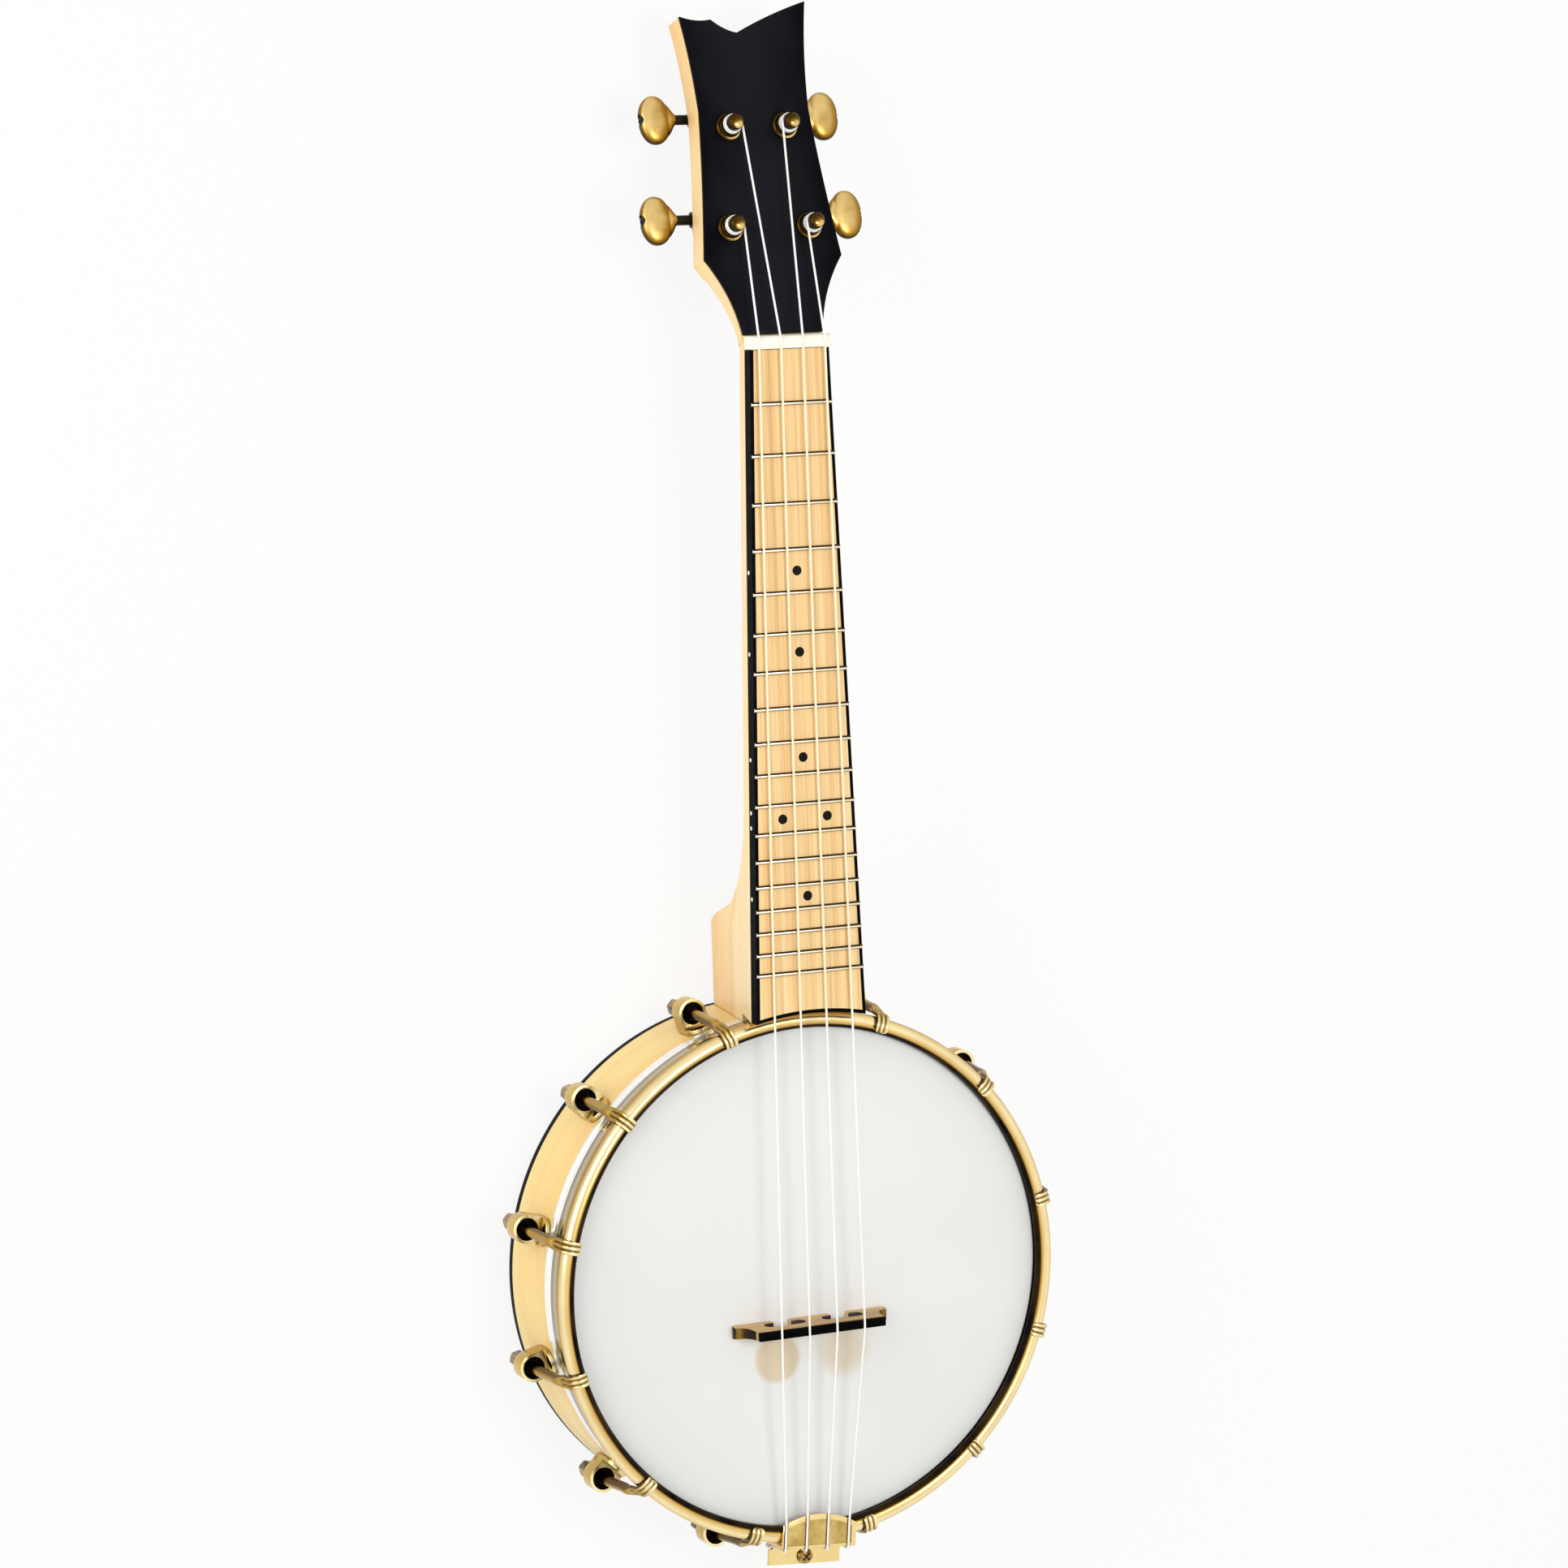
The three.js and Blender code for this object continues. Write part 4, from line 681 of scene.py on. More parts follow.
edgeCentre = (rimUpper - rim["edge"], rim["height"] - rim["edge"])
rimShell = spun("rim", [
    (rimInner + rim["innerEdge"], 0), (rebate, 0), (rebate, ledge), (rim["radius"], ledge),
    (rim["radius"], rim["shoulder"] - rim["soft"]), (rim["radius"] - rim["soft"], rim["shoulder"]),
    (rimUpper, rim["shoulder"]), *arcPoints(edgeCentre, rim["edge"], 0, 90, 6),
    (rimInner, rim["height"] - rim["edge"]), (rimInner, rim["innerEdge"]),
])
for direction in (-1, 1):
    hole = rod("hole", rim["boltHole"], spot(0, direction * (rimInner - past), rim["boltHeight"]),
               spot(0, direction * (rim["radius"] + past), rim["boltHeight"]))
    combine(rimShell, hole, "DIFFERENCE")
finishPiece(rimShell, rimMaple, "instrument", ["rim_shell"])

backBinding = spun("rim_binding", [
    (bindingInner, 0), (rim["radius"] - 0.6, 0), (rim["radius"] - 0.18, 0.18), (rim["radius"], 0.6),
    (rim["radius"], rim["binding"]), (bindingInner, rim["binding"]),
])
finishPiece(backBinding, blackGloss, "instrument", ["rim_back_binding"])

head = {"plane": 60.1, "film": 0.5, "radius": 102.0, "turn": 0.9, "skirtEnd": 41.8}
under = head["plane"] - head["film"]
turnCentre = (head["radius"] - head["turn"], head["plane"] - head["turn"])
filmOuter = arcPoints(turnCentre, head["turn"], 0, 90, 8)
filmInner = arcPoints(turnCentre, head["turn"] - head["film"], 90, 0, 8)
skirtEnds = [(head["radius"] - head["film"], head["skirtEnd"]), (head["radius"], head["skirtEnd"])]
drumHead = spun("head", [(0, head["plane"]), (0, under), *filmInner, *skirtEnds, *filmOuter])
finishPiece(drumHead, headFilm, "instrument", ["drum_head"])

for side in ("left", "right"):
    low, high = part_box("head_pad_" + side)
    middle = (low + high) / 2
    pad = rod("pad_" + side, (high.x - low.x) / 2 / mm, Vector((middle.x, middle.y, low.z)),
              Vector((middle.x, middle.y, high.z)), 64)
    bevelEdges(pad, 0.5, 3)
    finishPiece(pad, padFoam, "instrument", ["head_pad_" + side])

band = {"inner": 102.3, "outer": 105.2, "low": 41.2, "high": 48.9, "edge": 0.6,
        "groove": ((44.2, 0), (44.6, 0.35), (45.1, 0.35), (45.5, 0))}  # height and depth
bandEdge = band["outer"] - band["edge"]
bandSection = [(band["inner"], band["low"]), (bandEdge, band["low"])]
bandSection += arcPoints((bandEdge, band["low"] + band["edge"]), band["edge"], -60, 0, 3)
bandSection += [(band["outer"] - depth, height) for height, depth in band["groove"]]
bandSection += arcPoints((bandEdge, band["high"] - band["edge"]), band["edge"], 0, 90, 4)
bandSection += [(band["inner"], band["high"])]
fleshHoop = spun("flesh_band", bandSection)
finishPiece(fleshHoop, bandMetal, "instrument", ["flesh_hoop"])

hoopSection = [(hoop["skirtInner"], hoop["low"]), (hoop["skirtOuter"] - 0.4, hoop["low"]),
               (hoop["skirtOuter"], hoop["low"] + 0.4), (hoop["skirtOuter"], hoop["skirtTop"] - 0.4),
               (hoop["skirtOuter"] - 0.35, hoop["skirtTop"] + 0.05),
               *arcPoints(hoop["bead"], hoop["beadRadius"], hoop["start"], hoop["end"], 26),
               (hoop["skirtInner"], hoop["beadLow"])]
tensionHoop = spun("hoop", hoopSection, steps=256)
finishPiece(tensionHoop, hoopFinish(), "instrument", ["tension_hoop"], 60)
print("pot is made")

# bracket shoes and hooks, modelled once at the neck side and copied round the rim
bracket = {"perSide": 6, "treble": (18.7, 168.1), "bass": (18, 164.4), "lean": 1.2}
shoe = {"axis": 112, "width": 11.6, "low": 26.5, "high": 34.5, "edge": 1.1, "bore": 2.8, "boreEdge": 0.4,
        "mouth": 4.25, "mouthDepth": 5, "lip": 0.35, "lipHeight": 0.5, "plate": 2, "plateEdge": 0.5,
        "plateTail": 3.4, "plateTop": 40.9}
hook = {"axis": 110.5, "rod": 2.1, "nutWidth": 7.2, "nutHeight": 11, "tail": 2.4, "claw": 5.6, "thick": 1.7,
        "neck": 55.1, "sweep": 124}


def modelShoe():
    half, low, high = shoe["width"] / 2, shoe["low"], shoe["high"]
    barrel = rod("shoe", half, spot(0, shoe["axis"], low), spot(0, shoe["axis"], high), 64)
    flush = half * 0.995  # a hair inside the barrel's sides
    saddle = brick("saddle", spot(-flush, rim["radius"] + 0.5, low), spot(flush, shoe["axis"], high))
    combine(barrel, saddle, "UNION")
    bevelEdges(barrel, shoe["edge"], 4)
    inRim = 1  # the plate starts in the rim and is cut to its round
    plateOutline = []
    for middle, start in ((shoe["plateTop"] - half, 0), (low - shoe["plateTail"] + half, 180)):
        plateOutline += [spot(x, rim["radius"] - inRim, z)
                         for x, z in arcPoints((0, middle), half, start, start + 180, 16)]
    plate = slab("plate", plateOutline, (0, (shoe["plate"] + inRim) * mm, 0))
    bevelEdges(plate, shoe["plateEdge"], 3)
    combine(barrel, plate, "UNION")
    seated = rim["radius"] + seat
    hollow = spun("hollow", [(0, 0), (seated, 0), (seated, rim["height"]), (0, rim["height"])], steps=256)
    combine(barrel, hollow, "DIFFERENCE")
    bore, mouth, soft = shoe["bore"], shoe["mouth"], shoe["boreEdge"]
    step, lip = high - shoe["mouthDepth"], mouth + shoe["lip"]
    hole = spun("hole", [(0, low - past), (bore + soft, low - past), (bore + soft, low), (bore, low + soft),
                         (bore, step), (mouth, step), (mouth, high - shoe["lipHeight"]), (lip, high),
                         (lip, high + past), (0, high + past)], spot(0, shoe["axis"], 0), 64)
    return combine(barrel, hole, "DIFFERENCE")


# across and out for the claw's grooved section, and the matching angles on the round rod
clawShares = [(-1, 0.1), (-0.93, 0.75), (-0.72, 1), (-0.5, 0.7), (-0.36, 0.2), (-0.22, 0.7), (0, 1),
              (0.22, 0.7), (0.36, 0.2), (0.5, 0.7), (0.72, 1), (0.93, 0.75), (1, 0.1), (0.97, -0.7),
              (0.8, -1), (0.4, -1), (0, -1), (-0.4, -1), (-0.8, -1), (-0.97, -0.7)]
rodTurns = [180, 162, 145, 128, 115, 103, 90, 77, 65, 52, 35, 18, 0, -25, -48, -70, -90, -110, -132, -155]


# the hook's sections from its low end to the claw's tip: radius, height, lean, how flat, and size
def hookStations(nutLow):
    bead = hoop["bead"]
    clawRadius = hoop["beadRadius"] + seat + hook["thick"] / 2
    shank = bead[0] + clawRadius
    low = nutLow - hook["tail"]
    stations = [(shoe["axis"], height, 0, 0, size)
                for height, size in ((low, 0.8), (low + 0.5, 1), (shoe["low"], 1))]
    for step in range(9):
        share = step / 8
        stations.append((shoe["axis"] + (hook["axis"] - shoe["axis"]) * smoothStep(share, 1),
                         shoe["high"] + (hook["neck"] - shoe["high"]) * share, 0, 0, 1))
    for step in range(1, 7):
        share = step / 7
        ease = smoothStep(share, 1)
        stations.append((hook["axis"] + (shank - hook["axis"]) * ease,
                         hook["neck"] + (bead[1] - hook["neck"]) * share, 0, min(1, ease * 1.5), 1))
    claw = arcPoints(bead, clawRadius, 0, hook["sweep"], 24)
    for step, (radius, height) in enumerate(claw):
        size = {23: 0.85, 24: 0.5}.get(step, 1)  # the tip is rounded off
        stations.append((radius, height, hook["sweep"] * step / 24, 1, size))
    return stations


def modelHook(lean):
    nutHigh = shoe["low"] - seat
    nutLow = nutHigh - hook["nutHeight"]
    fullLean = hoop["bead"][1] - shoe["low"]
    rodPlaces = [(math.cos(math.radians(turn)), math.sin(math.radians(turn))) for turn in rodTurns]
    rings = []
    for radius, height, turn, flatShare, size in hookStations(nutLow):
        out = Vector((0, math.cos(math.radians(turn)), math.sin(math.radians(turn))))
        share = min(1, max(0, (height - shoe["low"]) / fullLean))
        swing = Matrix.Rotation(math.radians(-lean) * share, 4, "Z")
        ring = []
        for (across, lift), (rodAcross, rodLift) in zip(clawShares, rodPlaces):
            side = hook["rod"] * rodAcross * (1 - flatShare) + across * hook["claw"] / 2 * flatShare
            rise = hook["rod"] * rodLift * (1 - flatShare) + lift * hook["thick"] / 2 * flatShare
            ring.append(pot + (swing @ (Vector((side * size, radius, height)) + out * rise * size)) * mm)
        rings.append(ring)
    body = skinned("hook", rings)
    corner = hook["nutWidth"] / 2
    nut = rod("nut", corner, spot(0, shoe["axis"], nutLow), spot(0, shoe["axis"], nutHigh), 6)
    crown = spun("crown", [(0, nutLow), (corner - 0.6, nutLow), (corner + 0.1, nutLow + 0.7),
                           (corner + 0.1, nutHigh - 0.7), (corner - 0.6, nutHigh), (0, nutHigh)],
                 spot(0, shoe["axis"], 0), 48)
    combine(nut, crown, "INTERSECT")
    return combine(body, nut, "UNION")


def copyRound(model, name, angle):
    piece = copied(model, name)
    piece.matrix_world = (Matrix.Translation(pot) @ Matrix.Rotation(math.radians(-angle), 4, "Z")
                          @ Matrix.Translation(-pot))
    return piece


# the inside of a shoe's bore gets the dark second material
def shadeBore(piece, angle):
    piece.data.materials.append(boreShade)
    middle = pot + Matrix.Rotation(math.radians(-angle), 3, "Z") @ local(0, shoe["axis"], 0)
    for face in piece.data.polygons:
        away = (face.center - middle).to_2d().length / mm
        if away < shoe["mouth"] + 0.2 and shoe["low"] + 0.5 < face.center.z / mm < shoe["high"] - 0.3:
            face.material_index = 1


shoeModel = modelShoe()
for side in (1, -1):
    for index in range(bracket["perSide"]):
        share = index / (bracket["perSide"] - 1)
        first, last = bracket["treble"] if side > 0 else bracket["bass"]
        lean = 0 if side > 0 else -bracket["lean"] * share
        angle = side * (first + (last - first) * share) - lean
        number = "%02d" % (index + 1 if side > 0 else 2 * bracket["perSide"] - index)
        shoePiece = copyRound(shoeModel, "shoe_" + number, angle)
        finishPiece(shoePiece, shoeBrass, "instrument", ["bracket_shoe_" + number])
        shadeBore(shoePiece, angle)
        hookModel = modelHook(lean)
        finishPiece(copyRound(hookModel, "hook_" + number, angle), hookBrass, "instrument",
                    ["bracket_hook_" + number], 50)
        bpy.data.objects.remove(hookModel)
bpy.data.objects.remove(shoeModel)
print("hooks and shoes are made")

# neck: shaft, heel and the tilted slab of the headstock
scale = {"length": 380, "frets": 18, "nutY": 371.1, "nutLength": 5.2}
board = {"half": 16.8, "taper": 0.026, "top": 73.9, "low": 68.5, "binding": 1.3, "end": 108.7}
neck = {"top": 68.2, "depthNut": 16.5, "depthHeel": 19.5, "zone": 85, "foot": 1, "footHalf": 14,
        "square": 26, "bore": 2.8, "boreDepth": 15}
heel = [(-0.12, 1), (0.39, 1), (0.433, 0.9), (0.468, 0.74), (0.504, 0.59), (0.574, 0.49), (0.64, 0.4),
        (0.715, 0.29), (0.79, 0.15), (0.87, 0.05), (1, 0)]
headstock = {"tilt": 13.93, "length": 134, "half": 29.2, "thickness": 12.5, "veneer": 1.5, "postHole": 4.7}
posts = [(-16.8, 43.2), (-12, 83.6), (12, 83.6), (16.8, 43.2)]
nutBack = scale["nutY"] + scale["nutLength"]
tilt = math.radians(headstock["tilt"])
hinge = board["low"] + 0.2  # height at which the headstock's face meets the nut's back
headFrame = Matrix.Translation(spot(0, nutBack, hinge)) @ Matrix.Rotation(-tilt, 4, "X")
# powers of a section's curve across and down: near 1 it is a half round, near 0 a box
curve = {"across": 0.9, "down": 0.85, "heelAcross": 0.1, "heelDown": 1, "throatEnd": 0.12}


def boardHalf(y):
    return board["half"] + board["taper"] * (scale["nutY"] - y)


def fretPlace(number):
    return scale["nutY"] - scale["length"] * (1 - 2 ** (-number / 12))


def headSpot(x, y, z):
    return headFrame @ (Vector((x, y, z)) * mm)


# the heel's depth share at a place along it, eased between the listed ones
def heelShare(along):
    for (a, low), (b, high) in zip(heel, heel[1:]):
        if along <= b:
            share = (along - a) / (b - a)
            index = heel.index((a, low))
            before = heel[max(index - 1, 0)]
            after = heel[min(index + 2, len(heel) - 1)]
            slopeIn = (high - before[1]) / (b - before[0]) * (b - a)
            slopeOut = (after[1] - low) / (after[0] - a) * (b - a)
            if low == high:
                return low
            square, cube = share ** 2, share ** 3
            return min(1, max(0, (2 * cube - 3 * square + 1) * low + (cube - 2 * square + share) * slopeIn
                              + (3 * square - 2 * cube) * high + (cube - square) * slopeOut))
    return 0


def neckSection(y, depth, heelPart):
    half = boardHalf(y)
    ring = []
    for step in range(49):
        angle = math.pi * step / 48
        c, s = math.cos(angle), max(0, math.sin(angle))
        side = math.copysign(1, c)
        shaftX = half * side * abs(c) ** curve["across"]
        taper = neck["footHalf"] + (half - neck["footHalf"]) * (1 - s) ** 1.8
        heelX = side * min(taper, half) * abs(c) ** curve["heelAcross"]
        drop = s ** (curve["down"] + (curve["heelDown"] - curve["down"]) * heelPart)
        ring.append(spot(shaftX + (heelX - shaftX) * heelPart, y, neck["top"] - depth * drop))
    return ring


# places on the headstock's outline, and pulls between them, as shares of its half width and length
headShares = {"throatPull": (0.65, 0.127), "corner": (1, 0.231), "flankPull": (0.863, 0.463),
              "waist": (0.798, 0.672), "crownPull": (0.815, 0.836), "peak": (0.952, 1),
              "brow": (0.411, 0.965), "notch": (-0.106, 0.908), "dipPull": (-0.295, 0.917),
              "hump": (-0.462, 0.949), "sagPull": (-0.685, 0.94), "leftTip": (-0.908, 0.959)}


# outline of the headstock in its own plane, from a start a little above or below the nut
def headOutline(start):
    at = {key: (x * headstock["half"], y * headstock["length"]) for key, (x, y) in headShares.items()}
    throat = boardHalf(nutBack) + seat

    def mirror(place):
        return (-place[0], place[1])

    path = [((throat, start), at["throatPull"], at["corner"]), (at["corner"], at["flankPull"], at["waist"]),
            (at["waist"], at["crownPull"], at["peak"]), (at["peak"], at["brow"], at["notch"]),
            (at["notch"], at["dipPull"], at["hump"]), (at["hump"], at["sagPull"], at["leftTip"]),
            (at["leftTip"], mirror(at["crownPull"]), mirror(at["waist"])),
            (mirror(at["waist"]), mirror(at["flankPull"]), mirror(at["corner"])),
            (mirror(at["corner"]), mirror(at["throatPull"]), (-throat, start))]
    return [curvePoint(*part, step / 14) for part in path for step in range(14)] + [(-throat, start)]


# the throat behind the nut, in the headstock's plane: the half round of the shaft widens along the first
# curve of the outline and squares off, and its underside runs on level to the slab's back
def throatRings():
    top = -headstock["veneer"] - seat
    shaftDepth = (hinge - neck["top"] + neck["depthNut"]) / math.cos(tilt) + top
    pull, end = ((x * headstock["half"], y * headstock["length"])
                 for x, y in (headShares["throatPull"], headShares["corner"]))
    start = (boardHalf(nutBack) + seat, top)
    rings = []
    for step in range(25):
        half, y = curvePoint(start, pull, end, 0.87 * step / 24)
        depth = max(headstock["thickness"] + top, shaftDepth - y * math.tan(tilt))
        square = smoothStep(y, neck["square"])
        across = curve["across"] + (curve["throatEnd"] - curve["across"]) * square
        down = curve["down"] + (curve["throatEnd"] - curve["down"]) * square
        ring = []
        for turn in range(49):
            angle = math.pi * turn / 48
            c, s = math.cos(angle), max(0, math.sin(angle))
            ring.append(headSpot(half * math.copysign(1, c) * abs(c) ** across, y, top - depth * s ** down))
        rings.append(ring)
    return rings


def modelNeck():
    rings = []
    fullDepth = neck["top"] - neck["foot"]
    for step in range(61):
        along = -0.12 + 1.12 * step / 60
        y = rim["radius"] + along * neck["zone"]
        share = heelShare(along)
        depth = neck["depthHeel"] + (fullDepth - neck["depthHeel"]) * share
        rings.append(neckSection(y, depth, smoothStep(share, 0.75)))
    first = rim["radius"] + neck["zone"]
    for step in range(1, 13):
        share = step / 12
        y = first + (nutBack - first) * share
        depth = neck["depthHeel"] + (neck["depthNut"] - neck["depthHeel"]) * share
        rings.append(neckSection(y, depth, 0))
    body = skinned("neck", rings)
    combine(body, skinned("throat", throatRings()), "UNION")
    thickness = headstock["thickness"]
    outline = [headSpot(x, y, -thickness) for x, y in headOutline(-headstock["veneer"])]
    core = slab("core", outline, headSpot(0, 0, -headstock["veneer"] - seat) - headSpot(0, 0, -thickness))
    bevelEdges(core, 0.45, 3, 50)
    below = brick("below", local(-headstock["half"], -past, -thickness - past),
                  local(headstock["half"], neck["square"], past))
    below.matrix_world = headFrame
    settle(below)
    combine(core, below, "DIFFERENCE")
    combine(body, core, "UNION")
    atRim, atBand, above = rim["radius"] + seat, band["outer"] + seat, neck["top"] + past
    clear = spun("clear", [(0, -past), (atRim, -past), (atRim, rim["shoulder"]), (atBand, rim["shoulder"]),
                           (atBand, band["high"]), (board["end"], band["high"]), (board["end"], above),
                           (0, above)], steps=256)
    combine(body, clear, "DIFFERENCE")
    combine(body, rod("bore", neck["bore"], spot(0, rim["radius"] - past, rim["boltHeight"]),
                      spot(0, rim["radius"] + neck["boreDepth"], rim["boltHeight"])), "DIFFERENCE")
    return drillPosts(body, thickness)


def drillPosts(piece, depth):
    for x, y in posts:
        hole = rod("hole", headstock["postHole"], headSpot(x, y, -depth - past), headSpot(x, y, past))
        combine(piece, hole, "DIFFERENCE")
    return piece


neckPiece = modelNeck()
finishPiece(neckPiece, neckMaple, "instrument", ["neck"], 40)

faceStart = (seat + headstock["veneer"] * math.sin(tilt)) / math.cos(tilt)
faceOutline = [headSpot(x, y, -headstock["veneer"]) for x, y in headOutline(faceStart)]
face = slab("headstock_face", faceOutline, headSpot(0, 0, 0) - headSpot(0, 0, -headstock["veneer"]))
bevelEdges(drillPosts(face, headstock["veneer"]), 0.25, 2, 50)
finishPiece(face, blackFace, "instrument", ["headstock_veneer"], 40)
print("neck is made")


# fingerboard with its frets, dots and binding
def boardOutline(inset, far, height):
    near = board["end"] + inset
    points = []
    half = boardHalf(near) - inset
    reach = math.asin(half / near)
    for step in range(25):
        turn = -reach + 2 * reach * step / 24
        points.append(spot(near * math.sin(turn), near * math.cos(turn), height))
    points.append(spot(boardHalf(far) - inset, far, height))
    points.append(spot(-(boardHalf(far) - inset), far, height))
    return points


boardFar = scale["nutY"] - seat
core = slab("board", boardOutline(board["binding"] + glue, boardFar, board["low"]),
            (0, 0, (board["top"] - board["low"]) * mm))
finishPiece(core, boardMaple, "instrument", ["fingerboard"])

fret = {"width": 1.8, "height": 1.0, "end": 0.15}
frets = []
for number in range(1, scale["frets"] + 1):
    y = fretPlace(number)
    half = boardHalf(y) - fret["end"]
    crown = [spot(-half, y - fret["width"] / 2 * across, board["top"] + fret["height"] * up)
             for across, up in arcPoints((0, 0), 1, 0, 180, 12)]
    bar = slab("fret", crown, (2 * half * mm, 0, 0))
    bevelEdges(bar, 0.3, 2, 60)
    frets.append(bar)
fretSet = joinPieces(*frets)
fretSet.name = "frets"
finishPiece(fretSet, nickel, "instrument", ["fingerboard"])


def dot(name, centre, radius, push):
    piece = rod(name, radius, centre, centre + push, 32)
    bevelEdges(piece, 0.05, 1, 60)
    return piece


# the frets that have a mark behind them, with the marks' places across the board
marks = {5: (0,), 7: (0,), 10: (0,), 12: (-9.6, 9.6), 15: (0,)}
mark = {"radius": 1.95, "depth": 0.45, "sideRadius": 0.85, "sideDepth": 0.36, "sidePair": 3, "proud": 0.05}
sideHeight = (board["top"] + board["low"]) / 2 - 1
faceDots, sideDots = [], []
for number, places in marks.items():
    y = (fretPlace(number) + fretPlace(number - 1)) / 2
    for x in places:
        faceDots.append(dot("dot", spot(x, y, board["top"] + mark["proud"] - mark["depth"]), mark["radius"],
                            local(0, 0, mark["depth"])))
    for shift in ((-mark["sidePair"], mark["sidePair"]) if len(places) > 1 else (0,)):
        deep = -boardHalf(y + shift) + 0.3
        sideDots.append(dot("side_dot", spot(deep, y + shift, sideHeight), mark["sideRadius"],
                            local(-mark["sideDepth"], 0, 0)))
faceDotSet = joinPieces(*faceDots)
faceDotSet.name = "face_dots"
finishPiece(faceDotSet, dotBlack, "instrument", ["fingerboard"])
sideDotSet = joinPieces(*sideDots)
sideDotSet.name = "side_dots"
finishPiece(sideDotSet, dotWhite, "instrument", ["fingerboard_binding"])

bindingHeight = board["top"] - board["low"] - 0.1
binding = slab("board_binding", boardOutline(0, boardFar, board["low"]), (0, 0, bindingHeight * mm))
pocket = slab("pocket", boardOutline(board["binding"], boardFar + past, board["low"] - past),
              (0, 0, (bindingHeight + past * 2) * mm))
combine(binding, pocket, "DIFFERENCE")
finishPiece(binding, blackGloss, "instrument", ["fingerboard_binding"])

stringGauge = 0.45
spacing = {"nut": 9.33, "bridge": 12.05, "tail": 9.2, "tailShift": 1}
nutCrown = {"height": 7.8, "drop": 2.6, "lip": 1.7}
nutTop = board["low"] + nutCrown["height"]
nutString = nutTop + stringGauge / 2


def stringX(place, pitch):
    return (place - 1.5) * pitch


nutHalf = boardHalf(nutBack) + seat
crownCurve = ((nutBack, nutTop - nutCrown["drop"]), (nutBack, nutTop),
              (scale["nutY"] + nutCrown["lip"], nutTop))
nutSection = [(scale["nutY"], board["low"]), (nutBack, board["low"]), crownCurve[0]]
nutSection += [curvePoint(*crownCurve, step / 8) for step in range(1, 9)] + [(scale["nutY"], nutTop)]
stringNut = slab("nut", [spot(-nutHalf, y, z) for y, z in nutSection], (2 * nutHalf * mm, 0, 0))
bevelEdges(stringNut, 0.35, 3)
for index in range(4):
    x = stringX(index, spacing["nut"])
    groove = rod("groove", stringGauge + 0.1, spot(x, scale["nutY"] - past, nutString),
                 spot(x, nutBack + past, nutString), 24)
    combine(stringNut, groove, "DIFFERENCE")
finishPiece(stringNut, bone, "instrument", ["string_nut"])
print("fingerboard is made")

# machine heads
tuner = {"wormY": 7.7, "wormZ": -16.1, "width": 15, "length": 19.6, "depth": 8.2, "edge": 1.5, "collar": 5.3,
         "collarTop": 2.7, "bushing": 4.4, "post": 3, "waist": 2.6, "postTop": 10.1, "cap": 3.2,
         "capHeight": 2.9, "dome": 1.7, "reach": 24.1, "boss": 3.2, "bossEnd": 9.1, "ear": 3.2,
         "earThickness": 1.8, "shaft": 2, "shaftIn": 4.6}
button = {"width": 12.8, "length": 19.4, "thickness": 6.6, "oval": 2.15, "flat": 3.0, "recess": 2.5,
          "recessDepth": 1.4, "screw": 2.1, "screwLow": 1.6, "screwHigh": 0.55, "cross": (0.35, 1.6)}
housingTop = -headstock["thickness"] - seat
buttonEnd = tuner["reach"] + button["width"] / 2


# a round bar on the worm's axis, which is the button's too
def onWorm(name, radius, start, end):
    axis = tuner["wormY"], tuner["wormZ"]
    return rod(name, radius, local(start, *axis), local(end, *axis))


def modelTunerBody():
    low = tuner["wormY"] + tuner["boss"] + 0.6 - tuner["length"]
    earLow = housingTop - tuner["earThickness"]
    body = brick("tuner_body", local(-tuner["width"] / 2, low, housingTop - tuner["depth"]),
                 local(tuner["width"] / 2, low + tuner["length"], housingTop))
    bevelEdges(body, tuner["edge"], 5)
    for piece in (
        onWorm("boss", tuner["boss"], 0, tuner["bossEnd"]),
        rod("ear", tuner["ear"], local(0, low, earLow), local(0, low, housingTop)),
        spun("bushing", [(0, housingTop - 0.3), (tuner["bushing"], housingTop - 0.3), (tuner["bushing"], 0.3),
                         (tuner["collar"], 0.3), (tuner["collar"], 0.9), (tuner["collar"] - 0.35, 1.3),
                         (tuner["bushing"] + 0.1, 1.55), (tuner["bushing"], 2.1),
                         (tuner["bushing"] - 0.45, tuner["collarTop"]), (0, tuner["collarTop"])],
             Vector((0, 0, 0)), 64),
    ):
        combine(body, piece, "UNION")
    combine(body, rod("bore", tuner["post"] + seat, local(0, 0, tuner["wormZ"]),
                      local(0, 0, tuner["collarTop"] + past)), "DIFFERENCE")
    shaftBore = onWorm("bore", tuner["shaft"] + seat, tuner["bossEnd"] - 5, tuner["bossEnd"] + past)
    return combine(body, shaftBore, "DIFFERENCE")


def modelPost():
    top, cap = tuner["postTop"], tuner["cap"]
    low = tuner["wormZ"] + seat
    section = [(0, low), (tuner["post"], low), (tuner["post"], tuner["collarTop"] + 0.5),
               (tuner["waist"], tuner["collarTop"] + 0.9),
               (tuner["waist"], top - tuner["capHeight"] - 0.5), (cap - 0.2, top - tuner["capHeight"] - 0.1),
               (cap, top - tuner["capHeight"] + 0.3)]
    section += [(cap * out, top - tuner["dome"] + tuner["dome"] * up)
                for out, up in arcPoints((0, 0), 1, 0, 90, 8)]
    return spun("post", section, Vector((0, 0, 0)), 64)


